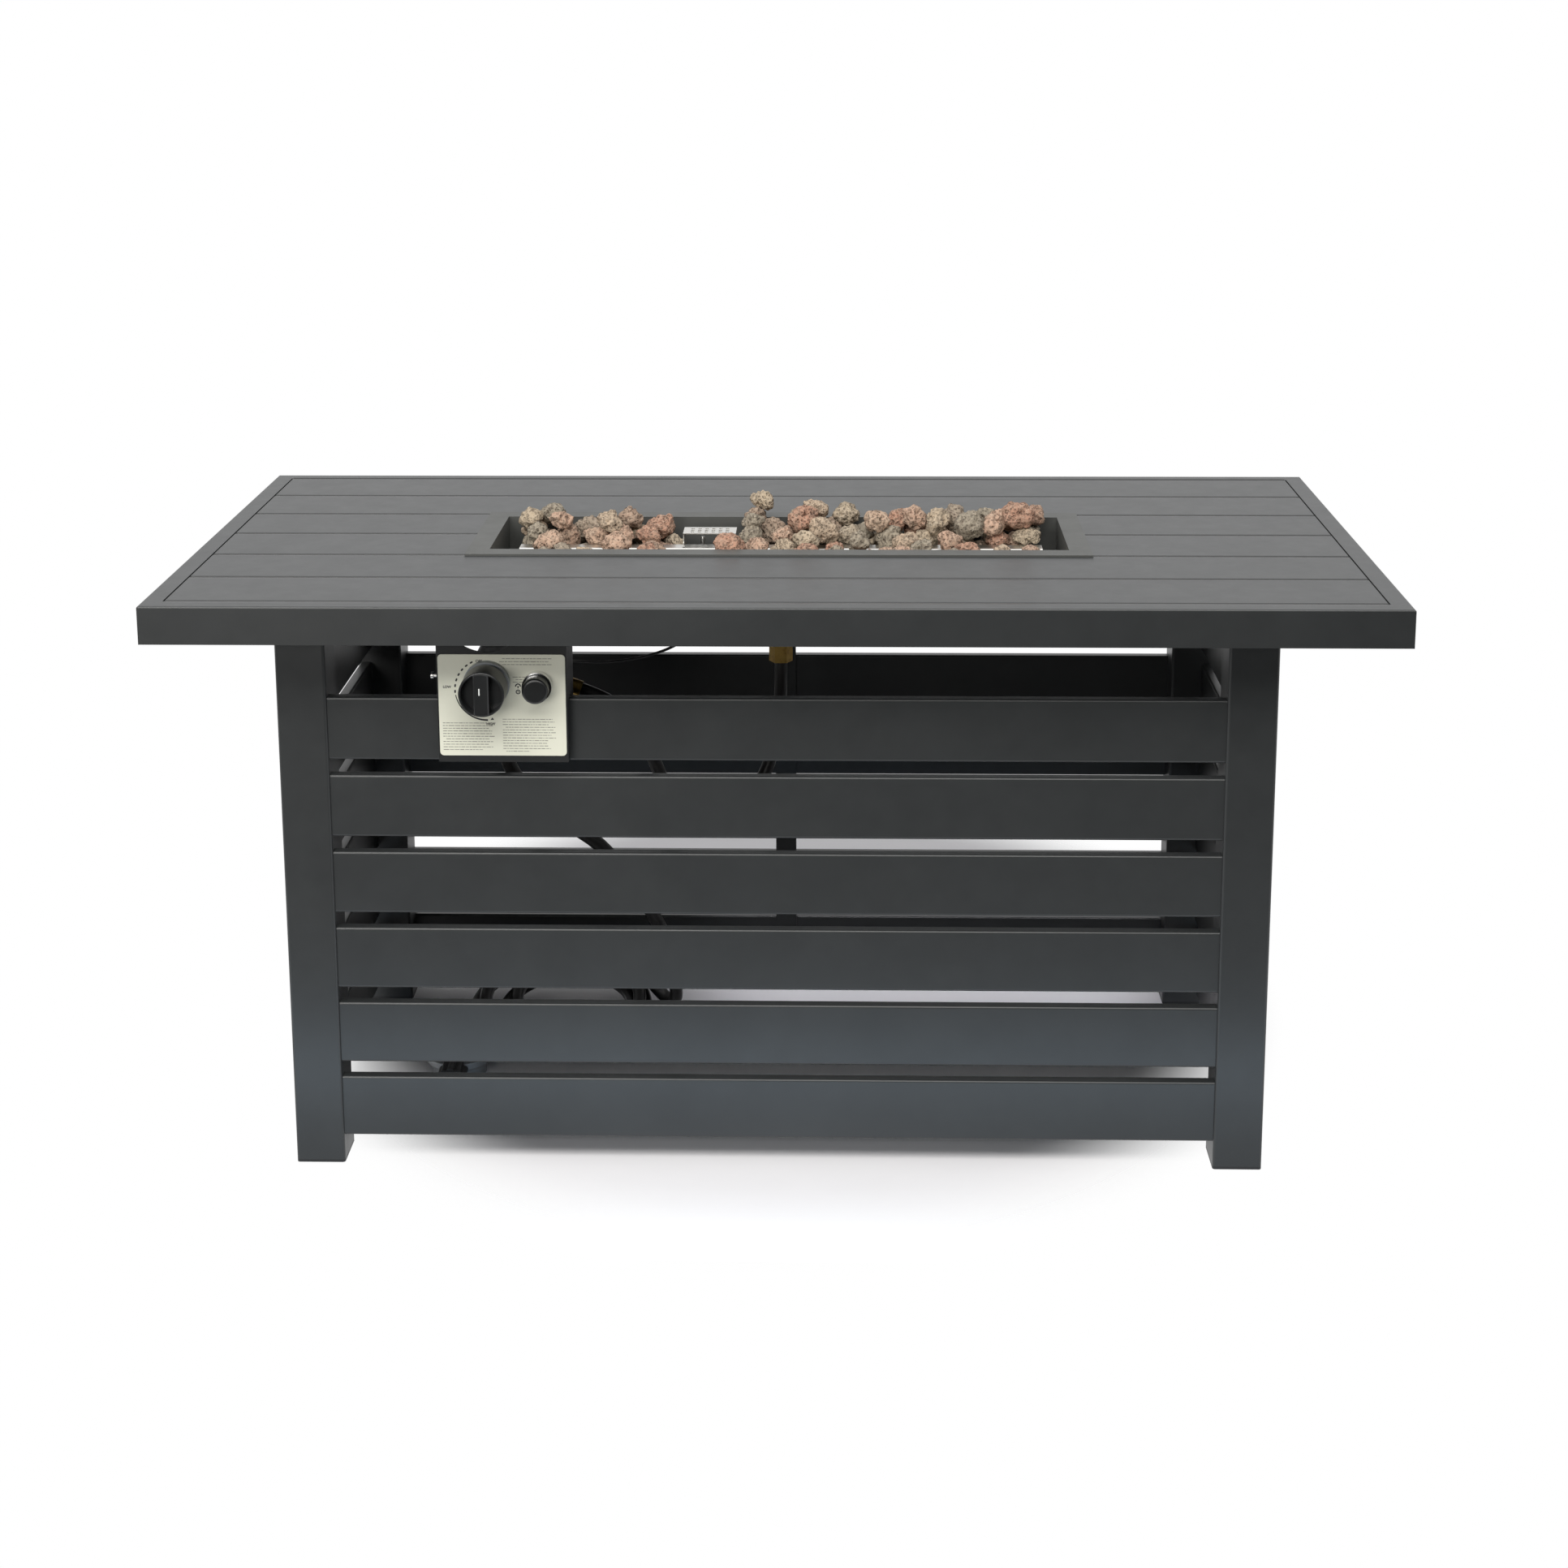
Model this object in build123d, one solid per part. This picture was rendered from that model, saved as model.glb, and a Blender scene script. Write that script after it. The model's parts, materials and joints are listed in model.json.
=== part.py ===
from build123d import *
import os
import random
from itertools import combinations
from math import cos, pi, radians, sin, sqrt, tan

import numpy as np

# A gas fire pit in a slatted metal table. Millimetres, Z up, X to the right of someone who faces the
# control plate, Y away from them. The origin is on the ground under the middle of the table.

# Table top: mitred apron rails, a deck of six rows of planks, bearers under the deck
table_length = 1219.0
table_width = 610.0
table_height = 614.0
rail_height = 38.0
rail_face = 20.0
rail_wall = 1.6
rail_edge_radius = 2.0
plank_rows = 6
plank_groove = 1.8
plank_thickness = 14.0
plank_wall = 1.8
plank_edge_radius = 1.0
bearer_height = 20.0
bearer_wall = 1.6
leg_bearer_width = 40.0
pan_bearer_width = 30.0

# Base: square legs and six slats on each side
base_end_inset = 112.5
base_side_inset = 76.0
leg_size = 50.0
leg_wall = 2.0
leg_corner_radius = 3.0
leg_plate_length = 92.0
leg_plate_thickness = 4.0
foot_cap_flange = 3.0
foot_cap_plug = 18.0
foot_cap_clearance = 0.3
bolt_diameter = 6.0
bolt_head_diameter = 11.0
bolt_head_height = 4.0
bolt_length = 12.0
bolt_end_distance = 10.0
bolt_clearance = 0.2
slat_rows = 6
slat_gap = 16.2
slat_top_gap = 76.0
slat_thickness = 13.0
slat_wall = 1.5
slat_edge_radius = 2.5
slat_recess = 3.0
slat_ground_gap = 29.0
strap_width = 24.0
strap_thickness = 3.0

# Fire pan, set in the opening of the two middle rows of planks
pan_rim_length = 650.0
pan_rim_width = 198.0
pan_rim_face = 23.0
pan_rim_thickness = 2.0
pan_wall = 1.5
pan_depth = 34.0
pan_end_overlap = 13.0
pan_bearer_setback = 3.0

# Burner, a closed tube with two rows of gas ports, and what feeds and lights it
burner_end_gap = 22.0
burner_width = 22.0
burner_height = 21.0
burner_wall = 1.2
burner_edge_radius = 3.0
port_diameter = 3.0
port_rows = 2
port_row_spacing = 10.0
port_pitch = 26.0
port_end_distance = 20.0
inlet_spigot_diameter = 12.0
inlet_spigot_rise = 6.0
mixer_diameter = 24.0
mixer_collar_diameter = 34.0
mixer_collar_height = 6.0
mixer_window_width = 9.0
mixer_window_height = 26.0
mixer_window_drop = 14.0
mixer_bore = 12.0
mixer_length = 84.5
nipple_diameter = 15.0
inlet_clearance = 0.2
feed_nut_width = 22.0
feed_nut_height = 20.0
hood_x = -77.0
hood_length = 57.0
hood_depth = 30.0
hood_height = 32.0
hood_sheet = 1.0
hood_burner_gap = 2.0
hood_hole_diameter = 4.0
hood_hole_pitch = 7.5
hood_hole_columns = 6
hood_hole_rows = 3
electrode_diameter = 7.0
electrode_tip_diameter = 2.4
electrode_rise = 12.0
electrode_tip_rise = 24.0
electrode_drop = 22.0
sensor_diameter = 5.0
sensor_rise = 26.0
sensor_drop = 26.0
lighter_spacing = 16.0
lighter_clearance = 0.15

# Lava rocks: separate stones of uneven size, dropped one by one on what lies below
rock_size_low = 23.0
rock_size_high = 37.0
rock_clearance = 0.3
rock_end_margin = 16.0
rock_jitter_share = 0.24
rock_stretch_shares = (0.84, 1.16)
rock_flatness_shares = (0.72, 0.98)
rock_tries = 7
rock_seed = 41
# Each course: number of stones, and the part of the pan's inner width that they fall in
rock_course_counts = (46, 46, 7, 30)
rock_course_shares = ((-0.50, -0.10), (0.10, 0.50), (-0.12, 0.12), (0.06, 0.46))
hood_sight_margin = 6.0

# Control box of folded sheet, with the plate, the gas valve and the igniter
box_left = -334.0
box_width = 129.0
box_drop = 138.0
box_top_gap = 4.0
box_front_stand_off = 11.0
box_depth = 54.0
box_sheet = 1.5
box_notch_radius = 43.0
box_notch_drop = 21.0
plate_width = 126.0
plate_height = 104.0
plate_thickness = 1.0
plate_corner_radius = 4.0
plate_left_margin = 1.5
plate_bottom_margin = 7.0
valve_x = -284.0
valve_drop = 56.0
valve_width = 38.0
valve_height = 34.0
valve_length = 80.0
valve_edge_radius = 5.0
valve_nose_diameter = 18.0
valve_nose_length = 16.0
valve_cap_diameter = 20.0
valve_cap_length = 24.0
valve_port_diameter = 18.0
valve_port_setback = 62.0
outlet_slope_degrees = 20.0
outlet_port_reach = 34.0
outlet_fitting_reach = 89.4
supply_port_length = 8.0
supply_fitting_length = 27.0
spindle_diameter = 8.0
spindle_in_valve = 26.0
spindle_clearance = 0.05
knob_diameter = 45.0
knob_depth = 28.0
knob_face_recess = 11.0
knob_rim = 2.2
knob_grip_width = 15.0
knob_grip_proud = 1.4
knob_skirt_diameter = 34.0
knob_skirt_depth = 7.5
knob_skirt_gap = 6.5
knob_edge_radius = 1.2
knob_cover = 6.0
collar_outer_diameter = 46.0
collar_inner_diameter = 41.0
collar_height = 8.0
igniter_x = -234.0
igniter_drop = 58.0
igniter_barrel_diameter = 22.0
igniter_barrel_length = 52.0
igniter_stem_diameter = 10.0
igniter_stem_length = 17.0
igniter_bore_depth = 24.0
igniter_hole_clearance = 0.5
igniter_button_diameter = 26.0
igniter_button_length = 19.0
igniter_button_crown = 3.0
igniter_button_gap = 5.5
igniter_collar_diameter = 29.5
igniter_collar_height = 9.0
igniter_collar_clearance = 0.6
side_screw_diameter = 4.0
side_screw_head_diameter = 7.0
side_screw_head_height = 2.5
side_screw_stand_off = 6.0
side_screw_inside = 5.0
side_screw_drop = 54.0
side_screw_setback = 18.0

# Hoses and leads
supply_hose_diameter = 15.0
feed_hose_diameter = 14.0
lead_diameter = 3.0
sensor_lead_diameter = 2.5
cord_arc_share = 0.45
# Points chosen by hand, end to end. The points between follow when the ends move.
# Free length of the gas hose: it hangs from the valve and runs in beside its coil
supply_route = (
    (-284.0, -160.5, 468.0),
    (-284.0, -160.5, 424.0),
    (-262.0, -156.0, 380.0),
    (-222.0, -140.0, 340.0),
    (-180.0, -108.0, 298.0),
    (-129.0, -68.7, 199.0),
    (-121.9, -28.2, 141.2),
    (-118.9, 5.6, 99.2),
    (-120.3, 32.5, 72.4),
    (-124.5, 56.4, 54.7),
    (-132.1, 81.2, 44.2),
    (-143.433, 106.643, 41.341),
)
feed_first_run = 26.6
feed_route = (
    (-175.0, -160.5, 480.3),
    (-152.0, -158.5, 462.0),
    (-135.0, -154.0, 436.0),
    (-124.0, -148.0, 401.0),
    (-112.0, -137.0, 364.0),
    (-97.0, -118.5, 337.0),
    (-80.0, -97.0, 322.0),
    (-62.0, -75.0, 317.0),
    (-45.0, -53.0, 321.5),
    (-28.0, -33.0, 336.0),
    (-13.0, -16.0, 360.0),
    (-4.0, -5.0, 396.0),
    (0.0, 0.0, 436.0),
    (0.0, 0.0, 474.0),
)
spark_route = (
    (-234.0, -186.5, 518.0),
    (-234.0, -152.0, 518.0),
    (-218.0, -114.0, 506.0),
    (-187.0, -80.0, 494.0),
    (-149.0, -50.0, 490.0),
    (-113.0, -18.0, 494.0),
    (-87.0, 10.0, 508.0),
    (-69.0, 28.0, 530.0),
    (-69.0, 28.0, 558.0),
)
sensor_route = (
    (-284.0, -118.5, 520.0),
    (-284.0, -86.0, 520.0),
    (-268.0, -54.0, 511.0),
    (-238.0, -30.0, 505.0),
    (-200.0, -12.0, 503.0),
    (-160.0, 2.0, 505.0),
    (-128.0, 13.0, 508.0),
    (-104.0, 22.0, 515.0),
    (-85.0, 28.0, 530.0),
    (-85.0, 28.0, 554.0),
)
# Coil of the gas hose, tipped up at the back: in along the upper layer, down a layer, out along the lower one
coil_end_gap = 240.0
coil_rear_gap = 129.0
coil_tilt_degrees = 11.0
coil_outer_radius = 104.0
coil_turn_step = 26.0
coil_middle_step = 10.0
coil_layer_step = 15.5
coil_floor_gap = 0.3
coil_full_turns = 3
coil_entry_degrees = 30.0
coil_exit_degrees = 180.0
coil_drop_turns = 0.5
coil_arcs_a_turn = 4
coil_heading_turns = 1 / 90
coil_samples = 1440
coil_first_run = 32.0

# Regulator, flat on the ground at the end of the hose
regulator_port_height = 17.0
regulator_base_radius = 30.0
regulator_flange_radius = 36.0
regulator_dome_radius = 27.0
regulator_vent_radius = 9.0
regulator_base_height = 15.0
regulator_flange_height = 9.0
regulator_dome_height = 13.0
regulator_vent_height = 5.0
regulator_edge_radius = 2.0
regulator_ferrule_radius = 10.0
regulator_ferrule_reach = 48.0
regulator_spindle_radius = 8.0
regulator_spindle_reach = 70.0
hand_nut_radius = 16.5
hand_nut_lobe_radius = 4.0
hand_nut_lobe_sink = 2.2
hand_nut_lobes = 10
hand_nut_length = 26.0
hand_nut_body_gap = 4.0
hand_nut_clearance = 0.05
tail_level_run = 28.0

cut_overrun = 2.0

# Sizes that follow from the ones above
deck_length = table_length - 2 * rail_face
deck_width = table_width - 2 * rail_face
plank_pitch = deck_width / plank_rows
plank_width = plank_pitch - plank_groove
plank_length = deck_length - 2 * plank_groove
rail_bottom = table_height - rail_height
base_length = table_length - 2 * base_end_inset
base_width = table_width - 2 * base_side_inset
deck_underside = table_height - plank_thickness
bearer_bottom = deck_underside - bearer_height
leg_x = base_length / 2 - leg_size / 2
leg_y = base_width / 2 - leg_size / 2
leg_top = bearer_bottom - leg_plate_thickness
slat_span = rail_bottom - slat_top_gap - slat_ground_gap
slat_height = (slat_span - (slat_rows - 1) * slat_gap) / slat_rows
slat_pitch = slat_height + slat_gap
front_slat_length = base_length - 2 * leg_size
side_slat_length = base_width - 2 * leg_size
slat_inset = slat_recess + slat_thickness / 2
pan_inner_length = pan_rim_length - 2 * pan_rim_face
pan_inner_width = pan_rim_width - 2 * pan_rim_face
pan_floor = table_height - pan_depth
pan_underside = pan_floor - pan_wall
opening_length = pan_rim_length - 2 * pan_end_overlap
pan_bearer_x = opening_length / 2 + pan_bearer_setback + pan_bearer_width / 2
burner_length = pan_inner_length - 2 * burner_end_gap
burner_top = pan_floor + burner_height
feed_nut_top = pan_underside - mixer_length
hood_y = burner_width / 2 + hood_burner_gap + hood_depth / 2
electrode_x = hood_x + lighter_spacing / 2
sensor_x = hood_x - lighter_spacing / 2
box_front = -base_width / 2 - box_front_stand_off
box_right = box_left + box_width
box_top = rail_bottom - box_top_gap
box_bottom = rail_bottom - box_drop
box_back = box_front + box_depth
plate_x = box_left + plate_left_margin + plate_width / 2
plate_z = box_bottom + plate_bottom_margin + plate_height / 2
plate_front = box_front - plate_thickness
valve_z = rail_bottom - valve_drop
igniter_z = rail_bottom - igniter_drop
side_screw_z = rail_bottom - side_screw_drop
valve_front = box_front + box_sheet
valve_block_front = valve_front + valve_nose_length
valve_block_back = valve_block_front + valve_length
knob_back = plate_front - knob_skirt_gap
knob_shoulder = knob_back - knob_skirt_depth
knob_front = knob_shoulder - knob_depth
spindle_front = knob_front + knob_face_recess + knob_cover
button_back = plate_front - igniter_button_gap
button_front = button_back - igniter_button_length
coil_x = -base_length / 2 + coil_end_gap
coil_y = base_width / 2 - coil_rear_gap
coil_turns = coil_full_turns + (coil_exit_degrees - coil_entry_degrees) / 360
coil_front_radius = coil_outer_radius + supply_hose_diameter / 2 - coil_turn_step


def along_y(shape, x, y, z):
    """A shape built up along its own +Z axis, turned so that the axis runs along +Y from a point."""
    return Plane(origin=(x, y, z), x_dir=(1, 0, 0), z_dir=(0, 1, 0)) * shape


def rod(diameter, length):
    """A round bar that stands on its origin."""
    return Cylinder(diameter / 2, length, align=(Align.CENTER, Align.CENTER, Align.MIN))


def bar(length, width, height):
    """A block whose underside is centred on its origin."""
    return Box(length, width, height, align=(Align.CENTER, Align.CENTER, Align.MIN))


def hexagon_bar(width, height):
    """A six-sided bar that stands on its origin, with its width across the flats."""
    return extrude(RegularPolygon(width / 2, 6, major_radius=False), amount=height)


def mitred_rail(length, across):
    """The front rail of a frame of this length and width: a box tube mitred at both ends."""
    front = -across / 2

    def band(near, far):
        corners = [(-length / 2 + near, front + near), (length / 2 - near, front + near)]
        corners += [(length / 2 - far, front + far), (-length / 2 + far, front + far)]
        return Polygon(*corners, align=None)

    tube = Pos(Z=rail_bottom) * extrude(band(0, rail_face), amount=rail_height)
    top_edges = tube.edges().filter_by(Axis.X).group_by(Axis.Z)[-1]
    tube = fillet(top_edges.sort_by(Axis.Y)[0], rail_edge_radius)
    hollow = extrude(band(rail_wall, rail_face - rail_wall), amount=rail_height - 2 * rail_wall)
    return tube - Pos(Z=rail_bottom + rail_wall) * hollow


def plank(length):
    """A deck plank along X, a channel that is open below, with its top face on the origin."""
    block = Pos(Z=-plank_thickness) * bar(length, plank_width, plank_thickness)
    top_edges = block.edges().filter_by(Axis.X).group_by(Axis.Z)[-1]
    block = fillet(top_edges, plank_edge_radius)
    hollow = bar(length + 2 * cut_overrun, plank_width - 2 * plank_wall, plank_thickness - plank_wall)
    return block - Pos(Z=-plank_thickness) * hollow


def bearer(width):
    """A box tube along Y between the long rails, centred on X."""
    section = Rectangle(width, bearer_height) - Rectangle(
        width - 2 * bearer_wall, bearer_height - 2 * bearer_wall
    )
    tube = along_y(extrude(section, amount=deck_width), 0, -deck_width / 2, 0)
    return Pos(Z=bearer_bottom + bearer_height / 2) * tube


def bolt_places():
    """Where the bolts of one leg plate are, from the middle of the leg."""
    reach = leg_plate_length - 2 * bolt_end_distance
    return GridLocations(reach, reach, 1, 2)


def build_top():
    """Rails, planks and bearers."""
    nodes = {
        "top_rail_front": mitred_rail(table_length, table_width),
        "top_rail_rear": Rot(Z=180) * mitred_rail(table_length, table_width),
        "top_rail_right": Rot(Z=90) * mitred_rail(table_width, table_length),
        "top_rail_left": Rot(Z=-90) * mitred_rail(table_width, table_length),
    }
    end_length = (plank_length - opening_length) / 2
    end_x = opening_length / 2 + end_length / 2
    middle_rows = (plank_rows // 2, plank_rows // 2 + 1)
    for row in range(1, plank_rows + 1):
        y = -deck_width / 2 + (row - 1 / 2) * plank_pitch
        if row in middle_rows:
            nodes[f"top_plank_{row}_left"] = Pos(-end_x, y, table_height) * plank(end_length)
            nodes[f"top_plank_{row}_right"] = Pos(end_x, y, table_height) * plank(end_length)
        else:
            nodes[f"top_plank_{row}"] = Pos(0, y, table_height) * plank(plank_length)
    hole = Pos(Z=bearer_bottom - cut_overrun) * rod(
        bolt_diameter + 2 * bolt_clearance, bearer_wall + 2 * cut_overrun
    )
    holes = [Pos(Y=side * leg_y) * place * hole for side in (-1, 1) for place in bolt_places()]
    drilled = bearer(leg_bearer_width) - holes
    nodes["leg_bearers"] = Compound(children=[Pos(X=side * leg_x) * drilled for side in (-1, 1)])
    plain = bearer(pan_bearer_width)
    nodes["pan_bearers"] = Compound(children=[Pos(X=side * pan_bearer_x) * plain for side in (-1, 1)])
    return nodes


def leg():
    """A square tube with a bolting plate welded on its top end."""
    section = RectangleRounded(leg_size, leg_size, leg_corner_radius)
    section -= Rectangle(leg_size - 2 * leg_wall, leg_size - 2 * leg_wall)
    tube = Pos(Z=foot_cap_flange) * extrude(section, amount=leg_top - foot_cap_flange)
    plate = bar(leg_size, leg_plate_length, leg_plate_thickness)
    hole = Pos(Z=-cut_overrun) * rod(
        bolt_diameter + 2 * bolt_clearance, leg_plate_thickness + 2 * cut_overrun
    )
    plate -= [place * hole for place in bolt_places()]
    return tube + Pos(Z=leg_top) * plate


def foot_cap():
    """A moulded cap under a leg, with a plug that fits the tube."""
    plug = leg_size - 2 * leg_wall - 2 * foot_cap_clearance
    flange = extrude(RectangleRounded(leg_size, leg_size, leg_corner_radius), amount=foot_cap_flange)
    return flange + Pos(Z=foot_cap_flange) * bar(plug, plug, foot_cap_plug)


def leg_bolt():
    """A bolt under a leg plate, with its shank up through the plate into the bearer."""
    head = Pos(Z=leg_top - bolt_head_height) * rod(bolt_head_diameter, bolt_head_height)
    return head + Pos(Z=leg_top) * rod(bolt_diameter, bolt_length)


def slat(length):
    """A flat box tube along X, on edge, with its middle on the origin."""
    section = RectangleRounded(slat_thickness, slat_height, slat_edge_radius)
    section -= Rectangle(slat_thickness - 2 * slat_wall, slat_height - 2 * slat_wall)
    return extrude(Plane.YZ * section, amount=length / 2, both=True)


def slat_level(row):
    """Height of the middle of a slat, with row 1 at the top."""
    return slat_ground_gap + slat_height / 2 + (slat_rows - row) * slat_pitch


def build_base():
    """Legs, caps, bolts, slats and the strap behind the rear slats."""
    corners = [(x * leg_x, y * leg_y) for y in (-1, 1) for x in (-1, 1)]
    names = ("front_left", "front_right", "rear_left", "rear_right")
    nodes = {f"leg_{name}": Pos(x, y) * leg() for name, (x, y) in zip(names, corners)}
    nodes["foot_caps"] = Compound(children=[Pos(x, y) * foot_cap() for x, y in corners])
    bolts = [Pos(x, y) * place * leg_bolt() for x, y in corners for place in bolt_places()]
    nodes["leg_bolts"] = Compound(children=bolts)
    front_y = -base_width / 2 + slat_inset
    side_x = -base_length / 2 + slat_inset
    levels = [slat_level(row) for row in range(1, slat_rows + 1)]
    inner = front_slat_length / 2
    for name, low, high in (("left", -inner, box_left), ("right", box_right, inner)):
        nodes[f"front_slat_1_{name}"] = Pos((low + high) / 2, front_y, levels[0]) * slat(high - low)
    for row in range(2, slat_rows + 1):
        nodes[f"front_slat_{row}"] = Pos(0, front_y, levels[row - 1]) * slat(front_slat_length)
    rear = [Pos(0, -front_y, level) * slat(front_slat_length) for level in levels]
    left = [Pos(side_x, 0, level) * Rot(Z=90) * slat(side_slat_length) for level in levels]
    right = [Pos(-side_x, 0, level) * Rot(Z=90) * slat(side_slat_length) for level in levels]
    nodes["rear_slats"] = Compound(children=rear)
    nodes["left_slats"] = Compound(children=left)
    nodes["right_slats"] = Compound(children=right)
    strap_y = base_width / 2 - slat_recess - slat_thickness - strap_thickness / 2
    strap_height = levels[0] + slat_height / 2 - slat_ground_gap
    nodes["rear_strap"] = Pos(0, strap_y, slat_ground_gap) * bar(strap_width, strap_thickness, strap_height)
    return nodes


def burner_pan():
    """A folded tray with a flat rim that lies on the deck round the opening."""
    rim = Rectangle(pan_rim_length, pan_rim_width) - Rectangle(pan_inner_length, pan_inner_width)
    tray = Rectangle(pan_inner_length + 2 * pan_wall, pan_inner_width + 2 * pan_wall)
    walls = tray - Rectangle(pan_inner_length, pan_inner_width)
    floor = tray - Circle(inlet_spigot_diameter / 2 + inlet_clearance)
    floor -= Pos(electrode_x, hood_y) * Circle(electrode_diameter / 2 + lighter_clearance)
    floor -= Pos(sensor_x, hood_y) * Circle(sensor_diameter / 2 + lighter_clearance)
    pan = Pos(Z=table_height) * extrude(rim, amount=pan_rim_thickness)
    pan += Pos(Z=pan_underside) * extrude(walls, amount=table_height - pan_underside)
    return pan + Pos(Z=pan_underside) * extrude(floor, amount=pan_wall)


def burner_tube():
    """The burner bar, closed at both ends, with its gas ports along the top."""
    outer = Plane.YZ * RectangleRounded(burner_width, burner_height, burner_edge_radius)
    inner = Plane.YZ * Rectangle(burner_width - 2 * burner_wall, burner_height - 2 * burner_wall)
    tube = extrude(outer, amount=burner_length / 2, both=True)
    tube -= extrude(inner, amount=burner_length / 2 - burner_wall, both=True)
    columns = int((burner_length - 2 * port_end_distance) // port_pitch) + 1
    port = rod(port_diameter, burner_height)
    tube -= [place * port for place in GridLocations(port_pitch, port_row_spacing, columns, port_rows)]
    tube -= Pos(Z=-burner_height) * rod(inlet_spigot_diameter + 2 * inlet_clearance, burner_height)
    return Pos(Z=pan_floor + burner_height / 2) * tube


def burner_inlet():
    """Air mixer under the pan: spigot, collar, tube with two air windows, nipple for the nut."""
    bottom = feed_nut_top - feed_nut_height
    body_top = pan_underside
    body = Pos(Z=feed_nut_top) * rod(mixer_diameter, body_top - feed_nut_top)
    body += Pos(Z=body_top - mixer_collar_height) * rod(mixer_collar_diameter, mixer_collar_height)
    body += Pos(Z=bottom) * rod(nipple_diameter, feed_nut_height)
    body += Pos(Z=body_top) * rod(inlet_spigot_diameter, pan_wall + inlet_spigot_rise)
    window_z = body_top - mixer_collar_height - mixer_window_drop - mixer_window_height / 2
    body -= Pos(Z=window_z) * Box(mixer_window_width, 2 * mixer_diameter, mixer_window_height)
    shaft_height = pan_floor + inlet_spigot_rise - window_z
    return body - Pos(Z=window_z) * rod(mixer_window_width, shaft_height + cut_overrun)


def feed_nut():
    """Brass nut that holds the feed hose on the nipple of the air mixer."""
    nut = hexagon_bar(feed_nut_width, feed_nut_height)
    nut -= rod(nipple_diameter + 2 * inlet_clearance, feed_nut_height)
    return Pos(Z=feed_nut_top - feed_nut_height) * nut


def ignition_hood():
    """Bent sheet over the spark point, open in front and behind, with a perforated top."""
    hood = bar(hood_length, hood_depth, hood_height)
    hood -= bar(hood_length - 2 * hood_sheet, hood_depth + 2 * cut_overrun, hood_height - hood_sheet)
    hole = rod(hood_hole_diameter, hood_height + cut_overrun)
    places = GridLocations(hood_hole_pitch, hood_hole_pitch, hood_hole_columns, hood_hole_rows)
    return Pos(hood_x, hood_y, pan_floor) * (hood - [place * hole for place in places])


def spark_electrode():
    """Ceramic rod through the floor of the pan with a wire tip."""
    ceramic = Pos(Z=-electrode_drop) * rod(electrode_diameter, electrode_drop + electrode_rise)
    return Pos(electrode_x, hood_y, pan_floor) * (ceramic + rod(electrode_tip_diameter, electrode_tip_rise))


def flame_sensor():
    """Thermocouple probe through the floor of the pan, with a round end."""
    probe = Pos(Z=-sensor_drop) * rod(sensor_diameter, sensor_drop + sensor_rise)
    tip = probe.faces().sort_by(Axis.Z)[-1].edges()
    probe = fillet(tip, sensor_diameter / 2 - lighter_clearance)
    return Pos(sensor_x, hood_y, pan_floor) * probe


class Stone:
    """A convex solid with flat triangular faces, which can be lowered onto others."""

    def __init__(self, corners, faces):
        self.corners = np.array(corners, dtype=float)
        self.faces = faces
        edges = {tuple(sorted(pair)) for face in faces for pair in zip(face, face[1:] + face[:1])}
        self.edges = np.array(sorted(edges))
        self.find_planes()

    def find_planes(self):
        """Outward normals of the faces, and how far along them the faces lie."""
        a, b, c = (self.corners[[face[i] for face in self.faces]] for i in range(3))
        self.normals = np.cross(b - a, c - a)
        self.offsets = np.sum(self.normals * a, axis=1)

    def move(self, shift):
        """Shifts the stone by a vector."""
        self.corners = self.corners + np.array(shift)
        self.find_planes()

    def grown(self, margin):
        """The same stone with each corner pushed away from its middle."""
        middle = self.corners.mean(axis=0)
        arms = self.corners - middle
        lengths = np.linalg.norm(arms, axis=1, keepdims=True)
        return Stone(middle + arms * (1 + margin / lengths), self.faces)

    def levels(self, points, upper):
        """Height of the top or underside at each plan point, or nan beside the stone."""
        rise = self.normals[:, 2]
        heights = (self.offsets - points @ self.normals[:, :2].T) / np.where(rise == 0, np.nan, rise)
        top = np.nanmin(np.where(rise > 0, heights, np.inf), axis=1)
        under = np.nanmax(np.where(rise < 0, heights, -np.inf), axis=1)
        past = points @ self.normals[:, :2].T > self.offsets
        beside = (past & (rise == 0)).any(axis=1)
        return np.where((top >= under) & ~beside, top if upper else under, np.nan)

    def drop_onto(self, other):
        """How far this stone can fall before it meets another one, infinite if it misses."""
        mine, theirs = self.corners, other.corners
        if (mine.min(0)[:2] > theirs.max(0)[:2]).any() or (theirs.min(0)[:2] > mine.max(0)[:2]).any():
            return np.inf
        falls = [mine[:, 2] - other.levels(mine[:, :2], True)]
        falls.append(self.levels(theirs[:, :2], False) - theirs[:, 2])
        p, q = mine[self.edges[:, 0]][:, None], theirs[other.edges[:, 0]][None]
        u, v = mine[self.edges[:, 1]][:, None] - p, theirs[other.edges[:, 1]][None] - q
        cross = u[..., 0] * v[..., 1] - u[..., 1] * v[..., 0]
        cross = np.where(cross == 0, np.nan, cross)
        gap = q - p
        s = (gap[..., 0] * v[..., 1] - gap[..., 1] * v[..., 0]) / cross
        t = (gap[..., 0] * u[..., 1] - gap[..., 1] * u[..., 0]) / cross
        meet = (s >= 0) & (s <= 1) & (t >= 0) & (t <= 1)
        falls.append(np.where(meet, p[..., 2] + s * u[..., 2] - q[..., 2] - t * v[..., 2], np.nan).ravel())
        found = np.concatenate(falls)
        found = found[~np.isnan(found)]
        return found.min() if len(found) else np.inf

    def solid(self):
        """The stone as a closed solid."""
        faces = [Face(Wire.make_polygon([tuple(self.corners[i]) for i in face])) for face in self.faces]
        return Solid(Shell(faces))


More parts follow.
